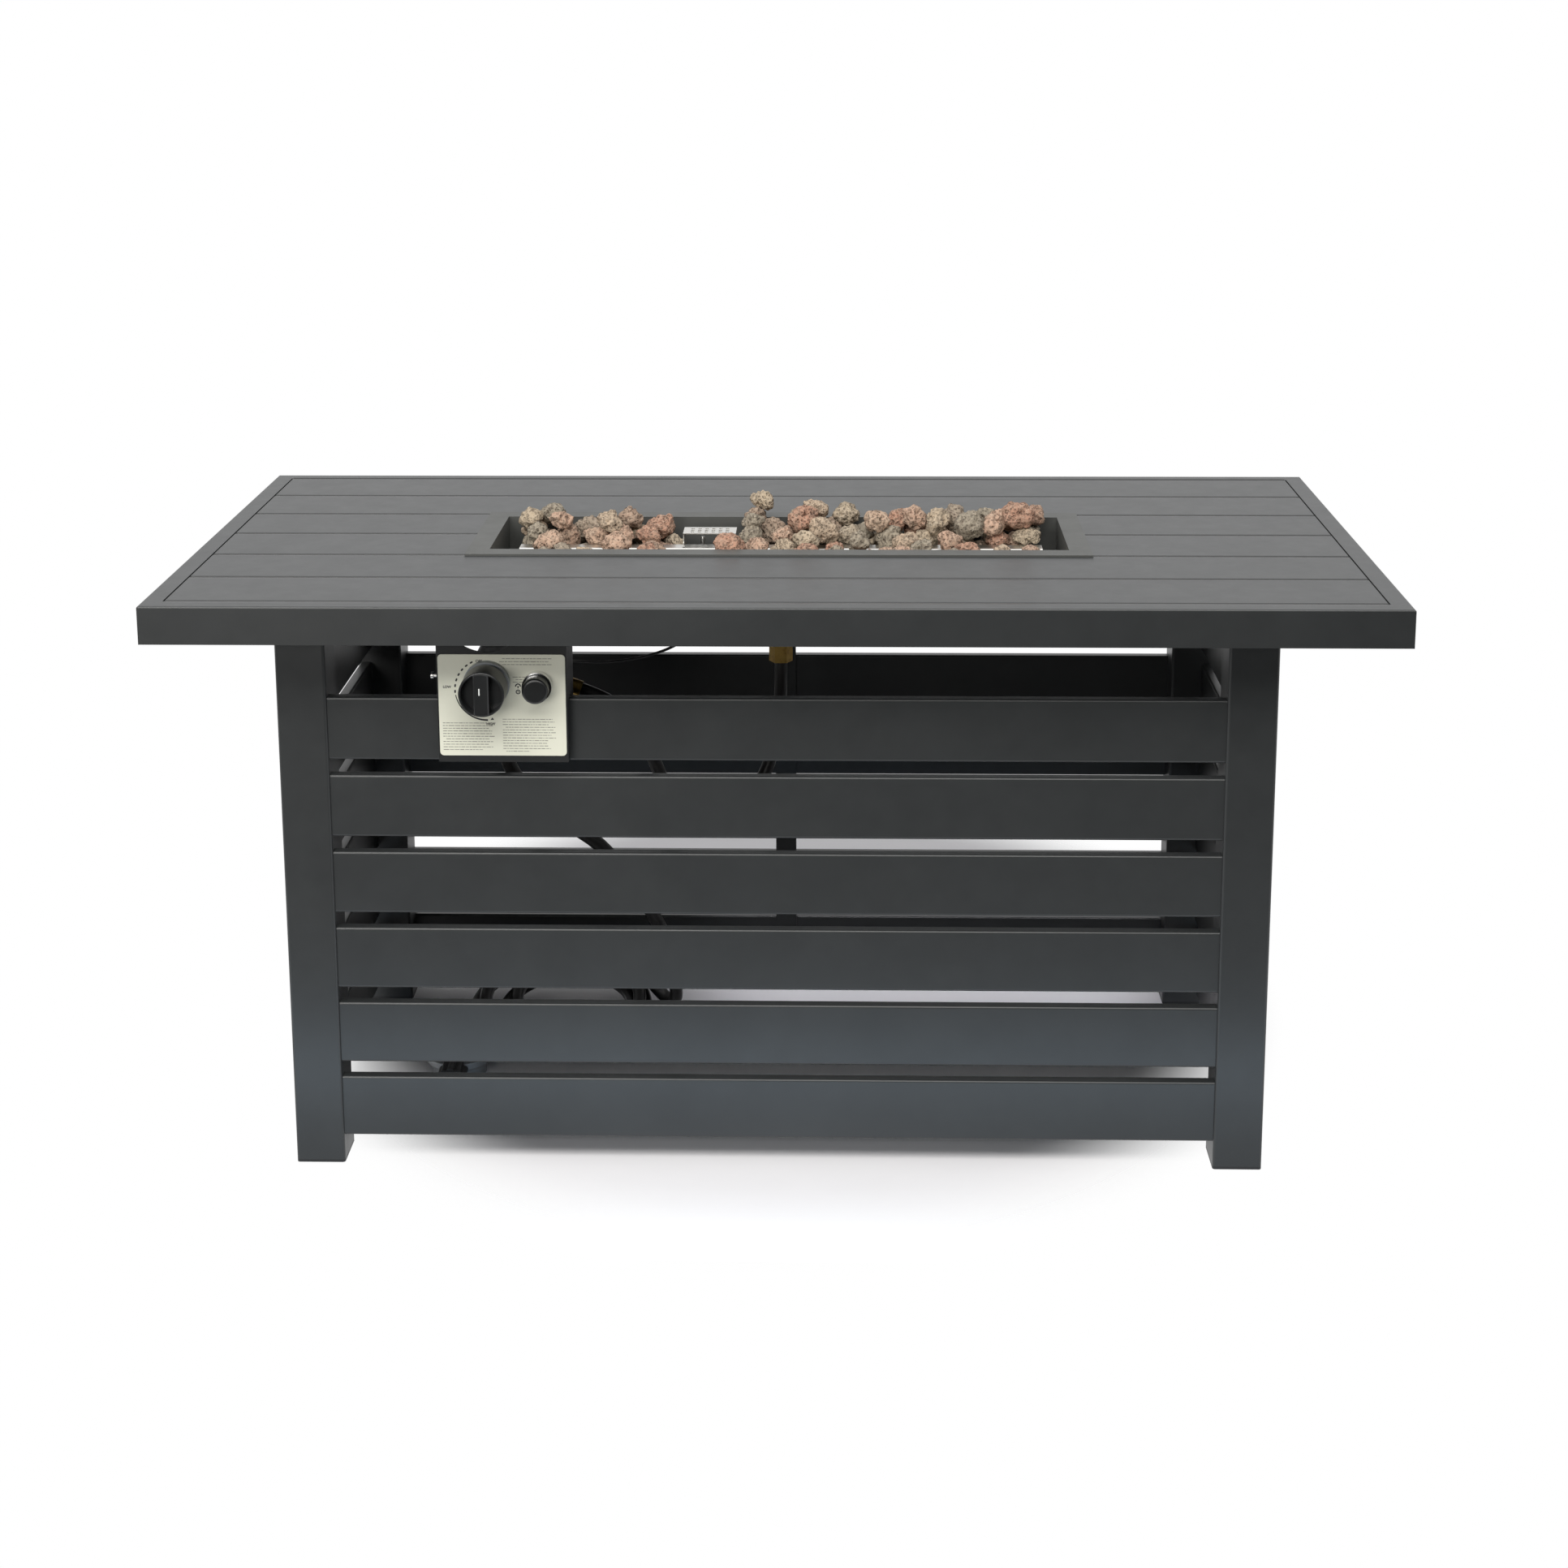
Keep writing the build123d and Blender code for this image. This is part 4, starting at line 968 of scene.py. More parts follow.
WHITE_INK = PrintedInk("white_ink", srgb(226, 228, 228), 0.4, cloud=-0.1)
FLOOR_PAINT = PaleFloor("floor", (0.93, 0.92, 0.945), 0.7, cloud=0.004, specular=0.2)
DARK_CLOTH = Finish("dark_cloth", (0.02, 0.02, 0.02), 0.9, specular=0.1)

WHITE_LIGHT: Colour = (1.0, 1.0, 1.0)
WARM_LIGHT: Colour = (1.0, 0.985, 0.95)
BLUE_LIGHT: Colour = (0.62, 0.81, 1.0)
COOL_LIGHT: Colour = (0.96, 0.95, 1.0)


class Wardrobe:
    """Materials of the finishes, each made once."""

    def __init__(self) -> None:
        """Starts with no material."""
        self.made: dict[str, bpy.types.Material] = {}

    def of(self, finish: Finish) -> bpy.types.Material:
        """The material of a finish.

        Args:
            finish: The finish.

        Returns:
            Its material.
        """
        if finish.name not in self.made:
            self.made[finish.name] = finish.material()
        return self.made[finish.name]

    def slot(self, slot: Slot) -> bpy.types.Material:
        """The material of a slot."""
        return self.of(FINISHES[slot])


def plain_mesh(holder: bpy.types.Object) -> bpy.types.Mesh:
    """What an object looks like with its modifiers or as text, as a plain mesh.

    Args:
        holder: The object.

    Returns:
        The mesh.
    """
    bpy.context.view_layer.update()
    graph = bpy.context.evaluated_depsgraph_get()
    return bpy.data.meshes.new_from_object(holder.evaluated_get(graph), depsgraph=graph)


def linked(name: str, data: bpy.types.ID) -> bpy.types.Object:
    """Puts a mesh, curve, light or camera into the scene, with its object at the origin.

    Args:
        name: Name of the object.
        data: What it shows.

    Returns:
        The object.
    """
    made = bpy.data.objects.new(name, data)
    bpy.context.scene.collection.objects.link(made)
    return made


def show(name: str, mesh: bpy.types.Mesh) -> bpy.types.Object:
    """Puts a mesh in the part's frame into the scene, under one name with its object."""
    mesh.name = name
    return linked(name, mesh)


def seated(piece: bpy.types.Object, body: Body) -> bpy.types.Object:
    """Lets a piece ride on a body.

    Args:
        piece: The piece, in place.
        body: Body that it moves with.

    Returns:
        The piece.
    """
    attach(piece, body.value)
    return piece


@dataclass(frozen=True)
class PhotoCamera:
    """Camera of the photograph, fitted to the edges of the table.

    Attributes:
        place: Where it stands, in metres.
        focal: Focal length in pixels of the photograph.
        yaw: Turn to the left, in radians.
        pitch: Turn down, in radians.
        roll: Turn about its own axis, in radians.
        shift: Shift of the frame along its height, in shares of its width.
        clip: Nearest and farthest distance that it sees, in metres.
    """

    place: Point = (0.0676, -2.575, 1.222)
    focal: float = 3039.07
    yaw: float = 0.02465
    pitch: float = 0.19943
    roll: float = -0.00356
    shift: float = -0.21
    clip: Limits = (0.05, 100.0)

    def build(self) -> bpy.types.Object:
        """Makes the camera the scene's own.

        Returns:
            The camera.
        """
        data = bpy.data.cameras.new("photo_camera")
        data.sensor_width = SENSOR_WIDTH
        data.lens = self.focal * SENSOR_WIDTH / PHOTO_WIDTH
        data.shift_y = self.shift
        data.clip_start, data.clip_end = self.clip
        camera = linked("photo_camera", data)
        tilt = Matrix.Rotation(math.pi / 2 - self.pitch, 4, "X")
        turn = Matrix.Rotation(self.yaw, 4, "Z") @ tilt @ Matrix.Rotation(self.roll, 4, "Z")
        camera.matrix_world = Matrix.Translation(self.place) @ turn
        bpy.context.scene.camera = camera
        return camera


@dataclass(frozen=True)
class Softbox:
    """A soft light that points at the table.

    Attributes:
        name: Name of the light.
        place: Where it hangs.
        target: Where it points.
        size: Width and height.
        power: Watts.
        colour: Colour of its light.
        spread: Angle of its beam, in radians.
    """

    name: str
    place: Point
    target: Point
    size: tuple[float, float]
    power: float
    colour: Colour = WHITE_LIGHT
    spread: float = math.pi

    def build(self) -> bpy.types.Object:
        """Makes the light, which the camera itself doesn't see.

        Returns:
            The light.
        """
        data = bpy.data.lights.new(self.name, "AREA")
        data.shape = "RECTANGLE"
        data.size, data.size_y = self.size
        data.energy = self.power
        data.color = self.colour
        data.spread = self.spread
        light = linked(self.name, data)
        light.visible_camera = False
        light.location = self.place
        beam = Vector(self.target) - Vector(self.place)
        light.rotation_euler = beam.to_track_quat("-Z", "Y").to_euler()
        return light


@dataclass(frozen=True)
class Studio:
    """White floor, white surroundings and soft lights.

    Attributes:
        floor_reach: How far the floor goes from the middle.
        floor_middle: Middle of the part of the floor that is seen.
        floor_radii: Its radii along the axes.
        floor_fade: Shares of the radii between which the floor passes into the white round it.
        flag: Corners of a dark panel by the camera, which only reflections see.
        fill: Strength of the light from all round.
        lights: The soft lights.
    """

    floor_reach: float = 4.0
    floor_middle: Point = (0.0, 0.25, 0.0)
    floor_radii: Point = (0.85, 1.0, 1.0)
    floor_fade: Limits = (0.52, 0.7)
    flag: tuple[Point, Point] = ((-4.0, -2.45, -0.9), (4.0, -2.45, 1.9))
    fill: float = 0.34
    lights: tuple[Softbox, ...] = (
        Softbox("key", (-0.3, -2.2, 2.75), (0.0, 0.0, 0.25), (3.4, 1.3), 102.0, WARM_LIGHT),
        Softbox("overhead", (0.0, 0.5, 3.2), (0.0, 0.0, 0.3), (4.0, 2.0), 22.0),
        Softbox("face", (-0.9, -2.3, 0.95), (-0.2, -0.24, 0.5), (0.9, 0.7), 17.0, WARM_LIGHT),
        Softbox("low_front", (0.0, -0.42, 0.02), (0.0, -0.2, 0.03), (1.9, 0.04), 0.82, BLUE_LIGHT),
        Softbox(
            "rear_floor", (0.18, 0.1, 0.32), (0.18, 0.2, 0.0), (0.55, 0.04), 0.1, COOL_LIGHT, 0.7
        ),
    )

    def build(self) -> None:
        """Makes the floor, the surroundings and the lights."""
        self.floor()
        self.dark_panel()
        self.surroundings()
        for light in self.lights:
            light.build()
        bpy.context.scene.view_settings.view_transform = "Standard"

    @staticmethod
    def panel(
        name: str, corners: Sequence[Point], material: bpy.types.Material, seen: bool = True
    ) -> bpy.types.Object:
        """Makes a flat panel.

        Args:
            name: Name of the panel.
            corners: Its four corners.
            material: Its material.
            seen: Whether the camera sees it.

        Returns:
            The panel.
        """
        mesh = bpy.data.meshes.new(name)
        mesh.from_pydata(corners, [], [(0, 1, 2, 3)])
        mesh.materials.append(material)
        panel = show(name, mesh)
        panel.visible_camera = seen
        return panel

    def floor(self) -> bpy.types.Object:
        """A wide floor at ground level.

        Returns:
            The floor.
        """
        reach = self.floor_reach
        corners = [(-reach, -reach, 0), (reach, -reach, 0), (reach, reach, 0), (-reach, reach, 0)]
        paint = FLOOR_PAINT.faded(self.floor_middle, self.floor_radii, self.floor_fade)
        return self.panel("floor", corners, paint)

    def dark_panel(self) -> bpy.types.Object:
        """The dark panel, as the unlit room behind a camera.

        Returns:
            The panel.
        """
        (left, y, low), (right, _, high) = self.flag
        corners = [(left, y, low), (right, y, low), (right, y, high), (left, y, high)]
        return self.panel("dark_panel", corners, DARK_CLOTH.material(), seen=False)

    def surroundings(self) -> None:
        """White where a camera, a reflection or a view through glass sees it, softer as light."""
        world = bpy.data.worlds.new("studio")
        bpy.context.scene.world = world
        world.use_nodes = True
        graph = Graph(world.node_tree)
        graph.tree.nodes.clear()
        path = graph.add("ShaderNodeLightPath")
        seen = graph.out(path, "Is Camera Ray") + graph.out(path, "Is Glossy Ray")
        seen = seen + graph.out(path, "Is Transmission Ray")
        strength = seen.spread(0.0, 1.0) * (1.0 - self.fill) + self.fill
        inputs = {"Color": WHITE_LIGHT, "Strength": strength}
        glow = graph.add("ShaderNodeBackground", {}, inputs)
        end = graph.add("ShaderNodeOutputWorld")
        graph.tree.links.new(glow.outputs[0], end.inputs["Surface"])


class Stiffness(Enum):
    """How a cord bends."""

    MEDIUM = "medium"
    STIFF = "stiff"


class Lay(Enum):
    """How a cord lies."""

    HANGING = "hanging"
    COILED = "coiled"


@dataclass(frozen=True)
class Cord:
    """A hose or lead on one smooth line.

    Attributes:
        name: Name of the piece.
        points: Control points in millimetres.
        diameter: Diameter in millimetres.
        length: Real length in millimetres; not used.
        nodes: Solids that it stands for.
        slot: Slot of its finish.
        far_end: What is on its far end; not used.
        stiffness: How it bends; not used.
        lay: How it lies; not used.
        carried: Solids that go with it; not used.
        order: Order of the line, one more than its degree.
        steps: Steps of the line from point to point.
        round_steps: Steps that make it round.
    """

    name: str
    points: Sequence[Point]
    diameter: float
    length: float
    nodes: tuple[str, ...]
    slot: Slot
    far_end: str = "object"
    stiffness: Stiffness = Stiffness.STIFF
    lay: Lay = Lay.HANGING
    carried: tuple[str, ...] = ()
    order: int = 3
    steps: int = 6
    round_steps: int = 5

    def line(self) -> bpy.types.Curve:
        """The round line through the points.

        Returns:
            The curve.
        """
        curve = bpy.data.curves.new(self.name, "CURVE")
        curve.dimensions = "3D"
        spline = curve.splines.new("NURBS")
        spline.points.add(len(self.points) - 1)
        for control, point in zip(spline.points, self.points):
            control.co = (*(Vector(point) * MM), 1.0)
        spline.order_u = self.order
        spline.use_endpoint_u = True
        curve.resolution_u = self.steps
        curve.bevel_depth = self.diameter / 2 * MM
        curve.bevel_resolution = self.round_steps
        curve.use_fill_caps = True
        return curve

    def build(
        self, wardrobe: Wardrobe, nodes: Mapping[str, bpy.types.Object]
    ) -> bpy.types.Object:
        """Args:
            wardrobe: Materials.
            nodes: Solids by name; not used.

        Returns:
            The piece.
        """
        curve = self.line()
        curve.materials.append(wardrobe.slot(self.slot))
        piece = seated(linked(self.name, curve), Body.TABLE)
        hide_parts(*self.nodes)
        self.diameter * MM
        return piece


@dataclass(frozen=True)
class HoseCoil:
    """Coil of the gas hose on the ground, tipped up at the back, in two layers, in millimetres.

    Attributes:
        middle: Its middle as seen from above, X and Y.
        tilt: Its tip from the ground, in degrees.
        outer: Radius of its outer turns.
        step: How much each turn is smaller than the next.
        aside: How far each smaller turn is moved along X.
        front: Distance from the foot of its front edge to the middle.
        low: Height of the lower layer.
        layer: Height between the layers.
        entry: Angle where the hose comes in, in degrees.
        turns: Number of turns.
        drop: Turns that the way down to the lower layer takes.
        points_a_turn: Control points of one turn.
    """

    middle: Flat = (-257.0, 100.0)
    tilt: float = 11.0
    outer: float = 104.0
    step: float = 26.0
    aside: float = 10.0
    front: float = 85.5
    low: float = 7.8
    layer: float = 15.5
    entry: float = 30.0
    turns: float = 3 + 150 / 360
    drop: float = 0.5
    points_a_turn: int = 18

    @property
    def foot(self) -> Vector:
        """Foot of its front edge."""
        x, y = self.middle
        return Vector((x, y - self.front * math.cos(math.radians(self.tilt)), 0.0))

    def point(self, turn: float, swell: float = 1.0) -> Vector:
        """A place on the coil.

        Args:
            turn: Turns from the upper end.
            swell: Factor on the radius.

        Returns:
            The place, in millimetres.
        """
        angle = math.radians(self.entry) + 2 * math.pi * turn
        inward = self.turns / 2 - abs(turn - self.turns / 2)
        radius = (self.outer - self.step * inward) * swell
        fallen = min(max((turn - self.turns / 2) / self.drop + 0.5, 0.0), 1.0)
        across = self.aside * inward + radius * math.cos(angle)
        back = self.front + radius * math.sin(angle)
        height = self.low + self.layer * (1 - fallen)
        return self.foot + self.turned(Vector((across, back, height)))

    def turned(self, place: Vector) -> Vector:
        """A direction on the coil's plane, as seen from the part."""
        return Matrix.Rotation(math.radians(self.tilt), 3, "X") @ place

    def heading(self, degrees: float) -> Vector:
        """Direction of the hose on a turn at this angle."""
        angle = math.radians(degrees)
        return self.turned(Vector((-math.sin(angle), math.cos(angle), 0.0)))

    def points(self) -> list[Vector]:
        """Control points a little outside of the turns, since the line runs inside its points.

        Returns:
            The points, in millimetres.
        """
        count = round(self.turns * self.points_a_turn)
        swell = 4 / (3 + math.cos(2 * math.pi / self.points_a_turn))
        return [self.point(self.turns * index / count, swell) for index in range(1, count)]


@dataclass(frozen=True)
class GasLines:
    """Hoses and leads under the table, in millimetres.

    Attributes:
        hang: Control points of the gas hose, from the valve down to its coil.
        feed: Control points of the hose from the valve to the burner.
        spark: Control points of the lead from the igniter to the electrode.
        sensor: Control points of the lead from the valve to the flame sensor.
        coil: Coil of the gas hose.
        regulator_port: Where the gas hose ends.
        first_run: Straight run of the gas hose before its coil.
        supply_size: Diameter and length of the gas hose.
        feed_size: Diameter and length of the hose to the burner.
        spark_size: Diameter and length of the igniter's lead.
        sensor_size: Diameter and length of the sensor's lead.
    """

    hang: tuple[Point, ...] = (
        (-284.0, -160.5, 468.0),
        (-284.0, -160.5, 424.0),
        (-262.0, -156.0, 380.0),
        (-222.0, -140.0, 340.0),
        (-180.0, -108.0, 298.0),
        (-129.0, -68.7, 199.0),
        (-121.9, -28.2, 141.2),
        (-118.9, 5.6, 99.2),
        (-120.3, 32.5, 72.4),
        (-124.5, 56.4, 54.7),
        (-132.1, 81.2, 44.2),
    )
    feed: tuple[Point, ...] = (
        (-200.0, -160.5, 489.4),
        (-175.0, -160.5, 480.3),
        (-152.0, -158.5, 462.0),
        (-135.0, -154.0, 436.0),
        (-124.0, -148.0, 401.0),
        (-112.0, -137.0, 364.0),
        (-97.0, -118.5, 337.0),
        (-80.0, -97.0, 322.0),
        (-62.0, -75.0, 317.0),
        (-45.0, -53.0, 321.5),
        (-28.0, -33.0, 336.0),
        (-13.0, -16.0, 360.0),
        (-4.0, -5.0, 396.0),
        (0.0, 0.0, 436.0),
        (0.0, 0.0, 474.0),
    )
    spark: tuple[Point, ...] = (
        (-234.0, -186.5, 518.0),
        (-234.0, -152.0, 518.0),
        (-218.0, -114.0, 506.0),
        (-187.0, -80.0, 494.0),
        (-149.0, -50.0, 490.0),
        (-113.0, -18.0, 494.0),
        (-87.0, 10.0, 508.0),
        (-69.0, 28.0, 530.0),
        (-69.0, 28.0, 558.0),
    )
    sensor: tuple[Point, ...] = (
        (-284.0, -118.5, 520.0),
        (-284.0, -86.0, 520.0),
        (-268.0, -54.0, 511.0),
        (-238.0, -30.0, 505.0),
        (-200.0, -12.0, 503.0),
        (-160.0, 2.0, 505.0),
        (-128.0, 13.0, 508.0),
        (-104.0, 22.0, 515.0),
        (-85.0, 28.0, 530.0),
        (-85.0, 28.0, 554.0),
    )
    coil: HoseCoil = HoseCoil()
    regulator_port: Point = (-361.0, 34.65, 17.0)
    first_run: float = 32.0
    supply_size: Flat = (15.0, 2454.0)
    feed_size: Flat = (14.0, 467.0)
    spark_size: Flat = (3.0, 321.0)
    sensor_size: Flat = (2.5, 299.0)

    def supply_points(self) -> list[Point]:
        """Control points of the gas hose, from the valve through its coil to the regulator.

        Returns:
            The points, in millimetres.
        """
        coil, hose = self.coil, self.supply_size[0]
        into = coil.heading(coil.entry)
        out = coil.heading(coil.entry + 360 * coil.turns)
        entry = coil.point(0) - into * hose
        leave = coil.point(coil.turns) + out * hose
        bend = leave + out * ((self.regulator_port[2] - leave.z) / out.z)
        turns = [coil.point(0), *coil.points(), coil.point(coil.turns)]
        line = [entry - into * self.first_run, entry, *turns, leave, bend]
        return [*self.hang, *(tuple(point) for point in line), self.regulator_port]

    def build(
        self, wardrobe: Wardrobe, nodes: Mapping[str, bpy.types.Object]
    ) -> list[bpy.types.Object]:
        """Makes the hoses and leads.

        Args:
            wardrobe: Materials.
            nodes: Solids by name.

        Returns:
            The pieces.
        """
        supply = Cord(
            "supply_hose",
            self.supply_points(),
            *self.supply_size,
            ("supply_hose_drop", "supply_hose_coil", "supply_hose_tail"),
            Slot.HOSE_RUBBER,
            "fitting",
            lay=Lay.COILED,
            carried=("regulator_body", "regulator_nut"),
        )
        feed = Cord(
            "feed_hose", self.feed, *self.feed_size, ("burner_feed_hose",), Slot.HOSE_RUBBER
        )
        spark = Cord(
            "spark_lead",
            self.spark,
            *self.spark_size,
            ("ignition_lead",),
            Slot.LEAD_JACKET,
            stiffness=Stiffness.MEDIUM,
        )
        sensor = Cord(
            "sensor_line", self.sensor, *self.sensor_size, ("sensor_lead",), Slot.COPPER_LEAD
        )
        return [cord.build(wardrobe, nodes) for cord in (supply, feed, spark, sensor)]


@dataclass(frozen=True)
class RockBed:
    """Lava rocks: the solids' own stones, rounded, crumbled and pitted.

    Attributes:
        node: Solid that holds the stones.
        levels: How often each face is divided.
        rounding: Passes that round the stones' edges.
        lump: Depth of the lumps, in metres.
        crumb: Depth of the crumbs, in metres.
        pore: Depth of the pores, in metres.
        swell: How far the whole face is pushed out, in metres.
        seed: Seed of the stones' hues.
        scatter: How far the stones' patterns are moved apart along X and Y, in metres.
        lumps: Pattern of the lumps.
        crumbs: Pattern of the crumbs.
        crumb_level: Value of that pattern that leaves the face where it is.
        pores: Pores in a metre.
        pore_limits: Distances from a pore's middle where it ends and where it is full.
        pore_patches: Pattern of the places that have pores.
        patch_limits: Values of that pattern between which they set in.
    """

    node: str = "lava_rocks"
    levels: int = 3
    rounding: int = 5
    lump: float = 0.0085
    crumb: float = 0.0042
    pore: float = 0.0038
    swell: float = 0.0012
    seed: int = 12
    scatter: Flat = (3.0, 1.7)
    lumps: Noise = Noise(62.0, 2.0)
    crumbs: Noise = Noise(190.0, 3.0, 0.65)
    crumb_level: float = 0.45
    pores: float = 170.0
    pore_limits: Limits = (0.46, 0.14)
    pore_patches: Noise = Noise(70.0)
    patch_limits: Limits = (0.34, 0.5)

    def rounded(self, tree: GeometryTree, place: Value) -> Value:
        """Adds the nodes that close, divide and round the stones.

        Args:
            tree: The tree.
            place: Places of its points.

        Returns:
            The rounded stones.
        """
        levels, rounding = tree.input("levels", "Int"), tree.input("rounding", "Int")
        loose = {"Geometry": tree.out(tree.start, "Geometry"), "Distance": MERGE_DISTANCE}
        whole = tree.out(tree.add("GeometryNodeMergeByDistance", {}, loose))
        fine = tree.add("GeometryNodeSubdivideMesh", {}, {"Mesh": whole, "Level": levels})
        blur = {"Value": place, "Iterations": rounding}
        soft = tree.add("GeometryNodeBlurAttribute", {"data_type": "FLOAT_VECTOR"}, blur)
        moved = {"Geometry": tree.out(fine), "Position": tree.out(soft)}
        return tree.out(tree.add("GeometryNodeSetPosition", {}, moved))

    def tree(self) -> GeometryTree:
        """Makes the tree that weathers the stones.

        Returns:
            The tree.
        """
        tree = GeometryTree("stone_weathering")
        place = tree.out(tree.add("GeometryNodeInputPosition"))
        stones = self.rounded(tree, place)
        lump, crumb, pore = (tree.input(name, "Float") for name in ("lump", "crumb", "pore"))
        seed, material = tree.input("seed", "Int"), tree.input("material", "Material")
        stone = tree.out(tree.add("GeometryNodeInputMeshIsland"), "Island Index")
        draw = {"Min": 0.0, "Max": 1.0, "ID": stone, "Seed": seed}
        hue = tree.out(tree.add("FunctionNodeRandomValue", {"data_type": "FLOAT"}, draw))
        apart = {"X": hue * self.scatter[0], "Y": hue * self.scatter[1]}
        own = place + tree.out(tree.add("ShaderNodeCombineXYZ", {}, apart))
        lumps = (tree.noise(own, self.lumps) - 0.5) * 2.0
        crumbs = (tree.noise(own, self.crumbs) - self.crumb_level) * 2.0
        holes = tree.cells(own, self.pores).spread(*self.pore_limits)
        holes = holes * tree.noise(own, self.pore_patches).spread(*self.patch_limits)
        push = lumps * lump + crumbs * crumb - holes * pore + self.swell
        offset = tree.out(tree.add("GeometryNodeInputNormal")) * push
        moved = {"Geometry": stones, "Offset": offset}
        worn = tree.out(tree.add("GeometryNodeSetPosition", {}, moved))
        # The hole mask is also stored for the painted shade in the pores.
        for name, given in (("stone_hue", hue), ("stone_pore_shade", holes)):
            kept = {"data_type": "FLOAT", "domain": "POINT"}
            inputs = {"Geometry": worn, "Name": name, "Value": given}
            worn = tree.out(tree.add("GeometryNodeStoreNamedAttribute", kept, inputs))
        smooth = {"Geometry": worn, "Shade Smooth": True}
        tree.finish(tree.out(tree.add("GeometryNodeSetShadeSmooth", {}, smooth)), material)
        return tree

    @staticmethod
    def stones(work: bmesh.types.BMesh) -> list[set[bmesh.types.BMVert]]:
        """Finds the stones of a mesh.

        Args:
            work: The mesh, with its doubles merged.

        Returns:
            The points of each stone.
        """
        found: list[set[bmesh.types.BMVert]] = []
        seen: set[bmesh.types.BMVert] = set()
        for first in work.verts:
            if first in seen:
                continue
            stone, edge = {first}, [first]
            while edge:
                vert = edge.pop()
                following = {link.other_vert(vert) for link in vert.link_edges} - stone
                stone |= following
                edge += following
            seen |= stone
            found.append(stone)
        return found

    def halves(self, mesh: bpy.types.Mesh) -> dict[str, bpy.types.Mesh]:
        """Shares the stones out between the left and the right half of the bed.

        Args:
            mesh: Mesh of all stones.

        Returns:
            A mesh for each half.
        """
        found = {}
        for name in ("left", "right"):
            work = bmesh.new()
            work.from_mesh(mesh)
            bmesh.ops.remove_doubles(work, verts=work.verts, dist=MERGE_DISTANCE)
            away: list[bmesh.types.BMVert] = []
            for stone in self.stones(work):
                middle = sum(vert.co.x for vert in stone) / len(stone)
                if (middle >= 0) != (name == "right"):
                    away += stone
            bmesh.ops.delete(work, geom=away, context="VERTS")
            found[name] = bpy.data.meshes.new(f"stones_{name}")
            work.to_mesh(found[name])
            work.free()
        return found

    def build(
        self, wardrobe: Wardrobe, nodes: Mapping[str, bpy.types.Object]
    ) -> list[bpy.types.Object]:
        """Makes the stones.

        Args:
            wardrobe: Materials.
            nodes: Solids by name.

        Returns:
            The pieces.
        """
        tree = self.tree()
        pieces = []
        for name, mesh in self.halves(nodes[self.node].data).items():
            made = tree.applied(
                mesh,
                levels=self.levels,
                rounding=self.rounding,
                lump=self.lump,
                crumb=self.crumb,
                pore=self.pore,
                seed=self.seed,
                material=wardrobe.slot(Slot.LAVA_ROCK),
            )
            piece = seated(show(f"lava_rocks_{name}", made), Body.TABLE)
            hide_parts(self.node)
            pieces.append(piece)
        return pieces


class Sheet:
    """Flat shapes on a plane that faces the front, in millimetres from the part's origin."""

    def __init__(self, front: float) -> None:
        """Starts an empty sheet.

        Args:
            front: Where its plane is along Y.
        """
        self.front = front
        self.corners: list[Point] = []
        self.faces: list[tuple[int, ...]] = []

    def polygon(self, outline: Iterable[Flat]) -> None:
        """Adds a flat face.

        Args:
            outline: Its corners as X and Z, counter-clockwise as seen from the front.
        """
        first = len(self.corners)
        self.corners += [(x * MM, self.front * MM, z * MM) for x, z in outline]
        self.faces.append(tuple(range(first, len(self.corners))))

    def bar(self, x: float, z: float, width: float, height: float) -> None:
        """Adds an upright rectangle round a middle."""
        left, right, low, high = x - width / 2, x + width / 2, z - height / 2, z + height / 2
        self.polygon([(left, low), (right, low), (right, high), (left, high)])

    def arc(
        self, middle: Flat, radius: float, span: Limits, widths: Limits, steps: int = 48
    ) -> None:
        """Adds a band along an arc.

        Args:
            middle: Middle of the arc.
            radius: Radius of its middle line.
            span: First and last angle in degrees, from straight up to the left.
            widths: Width at the first and at the last angle.
            steps: Faces along it.
        """
        rims = []
        for index in range(steps + 1):
            share = index / steps
            angle = math.radians(span[0] + (span[1] - span[0]) * share)
            half = (widths[0] + (widths[1] - widths[0]) * share) / 2
            x, z = -math.sin(angle), math.cos(angle)
            reaches = (radius - half, radius + half)
            rims.append([(middle[0] + x * reach, middle[1] + z * reach) for reach in reaches])
        for first, second in zip(rims, rims[1:]):
            self.polygon([second[0], first[0], first[1], second[1]])

    def mesh(self, name: str, material: bpy.types.Material) -> bpy.types.Mesh:
        """The shapes as one mesh.

        Args:
            name: Name of the mesh.
            material: Its material.

        Returns:
            The mesh.
        """
        mesh = bpy.data.meshes.new(name)
        mesh.from_pydata(self.corners, [], self.faces)
        mesh.materials.append(material)
        return mesh


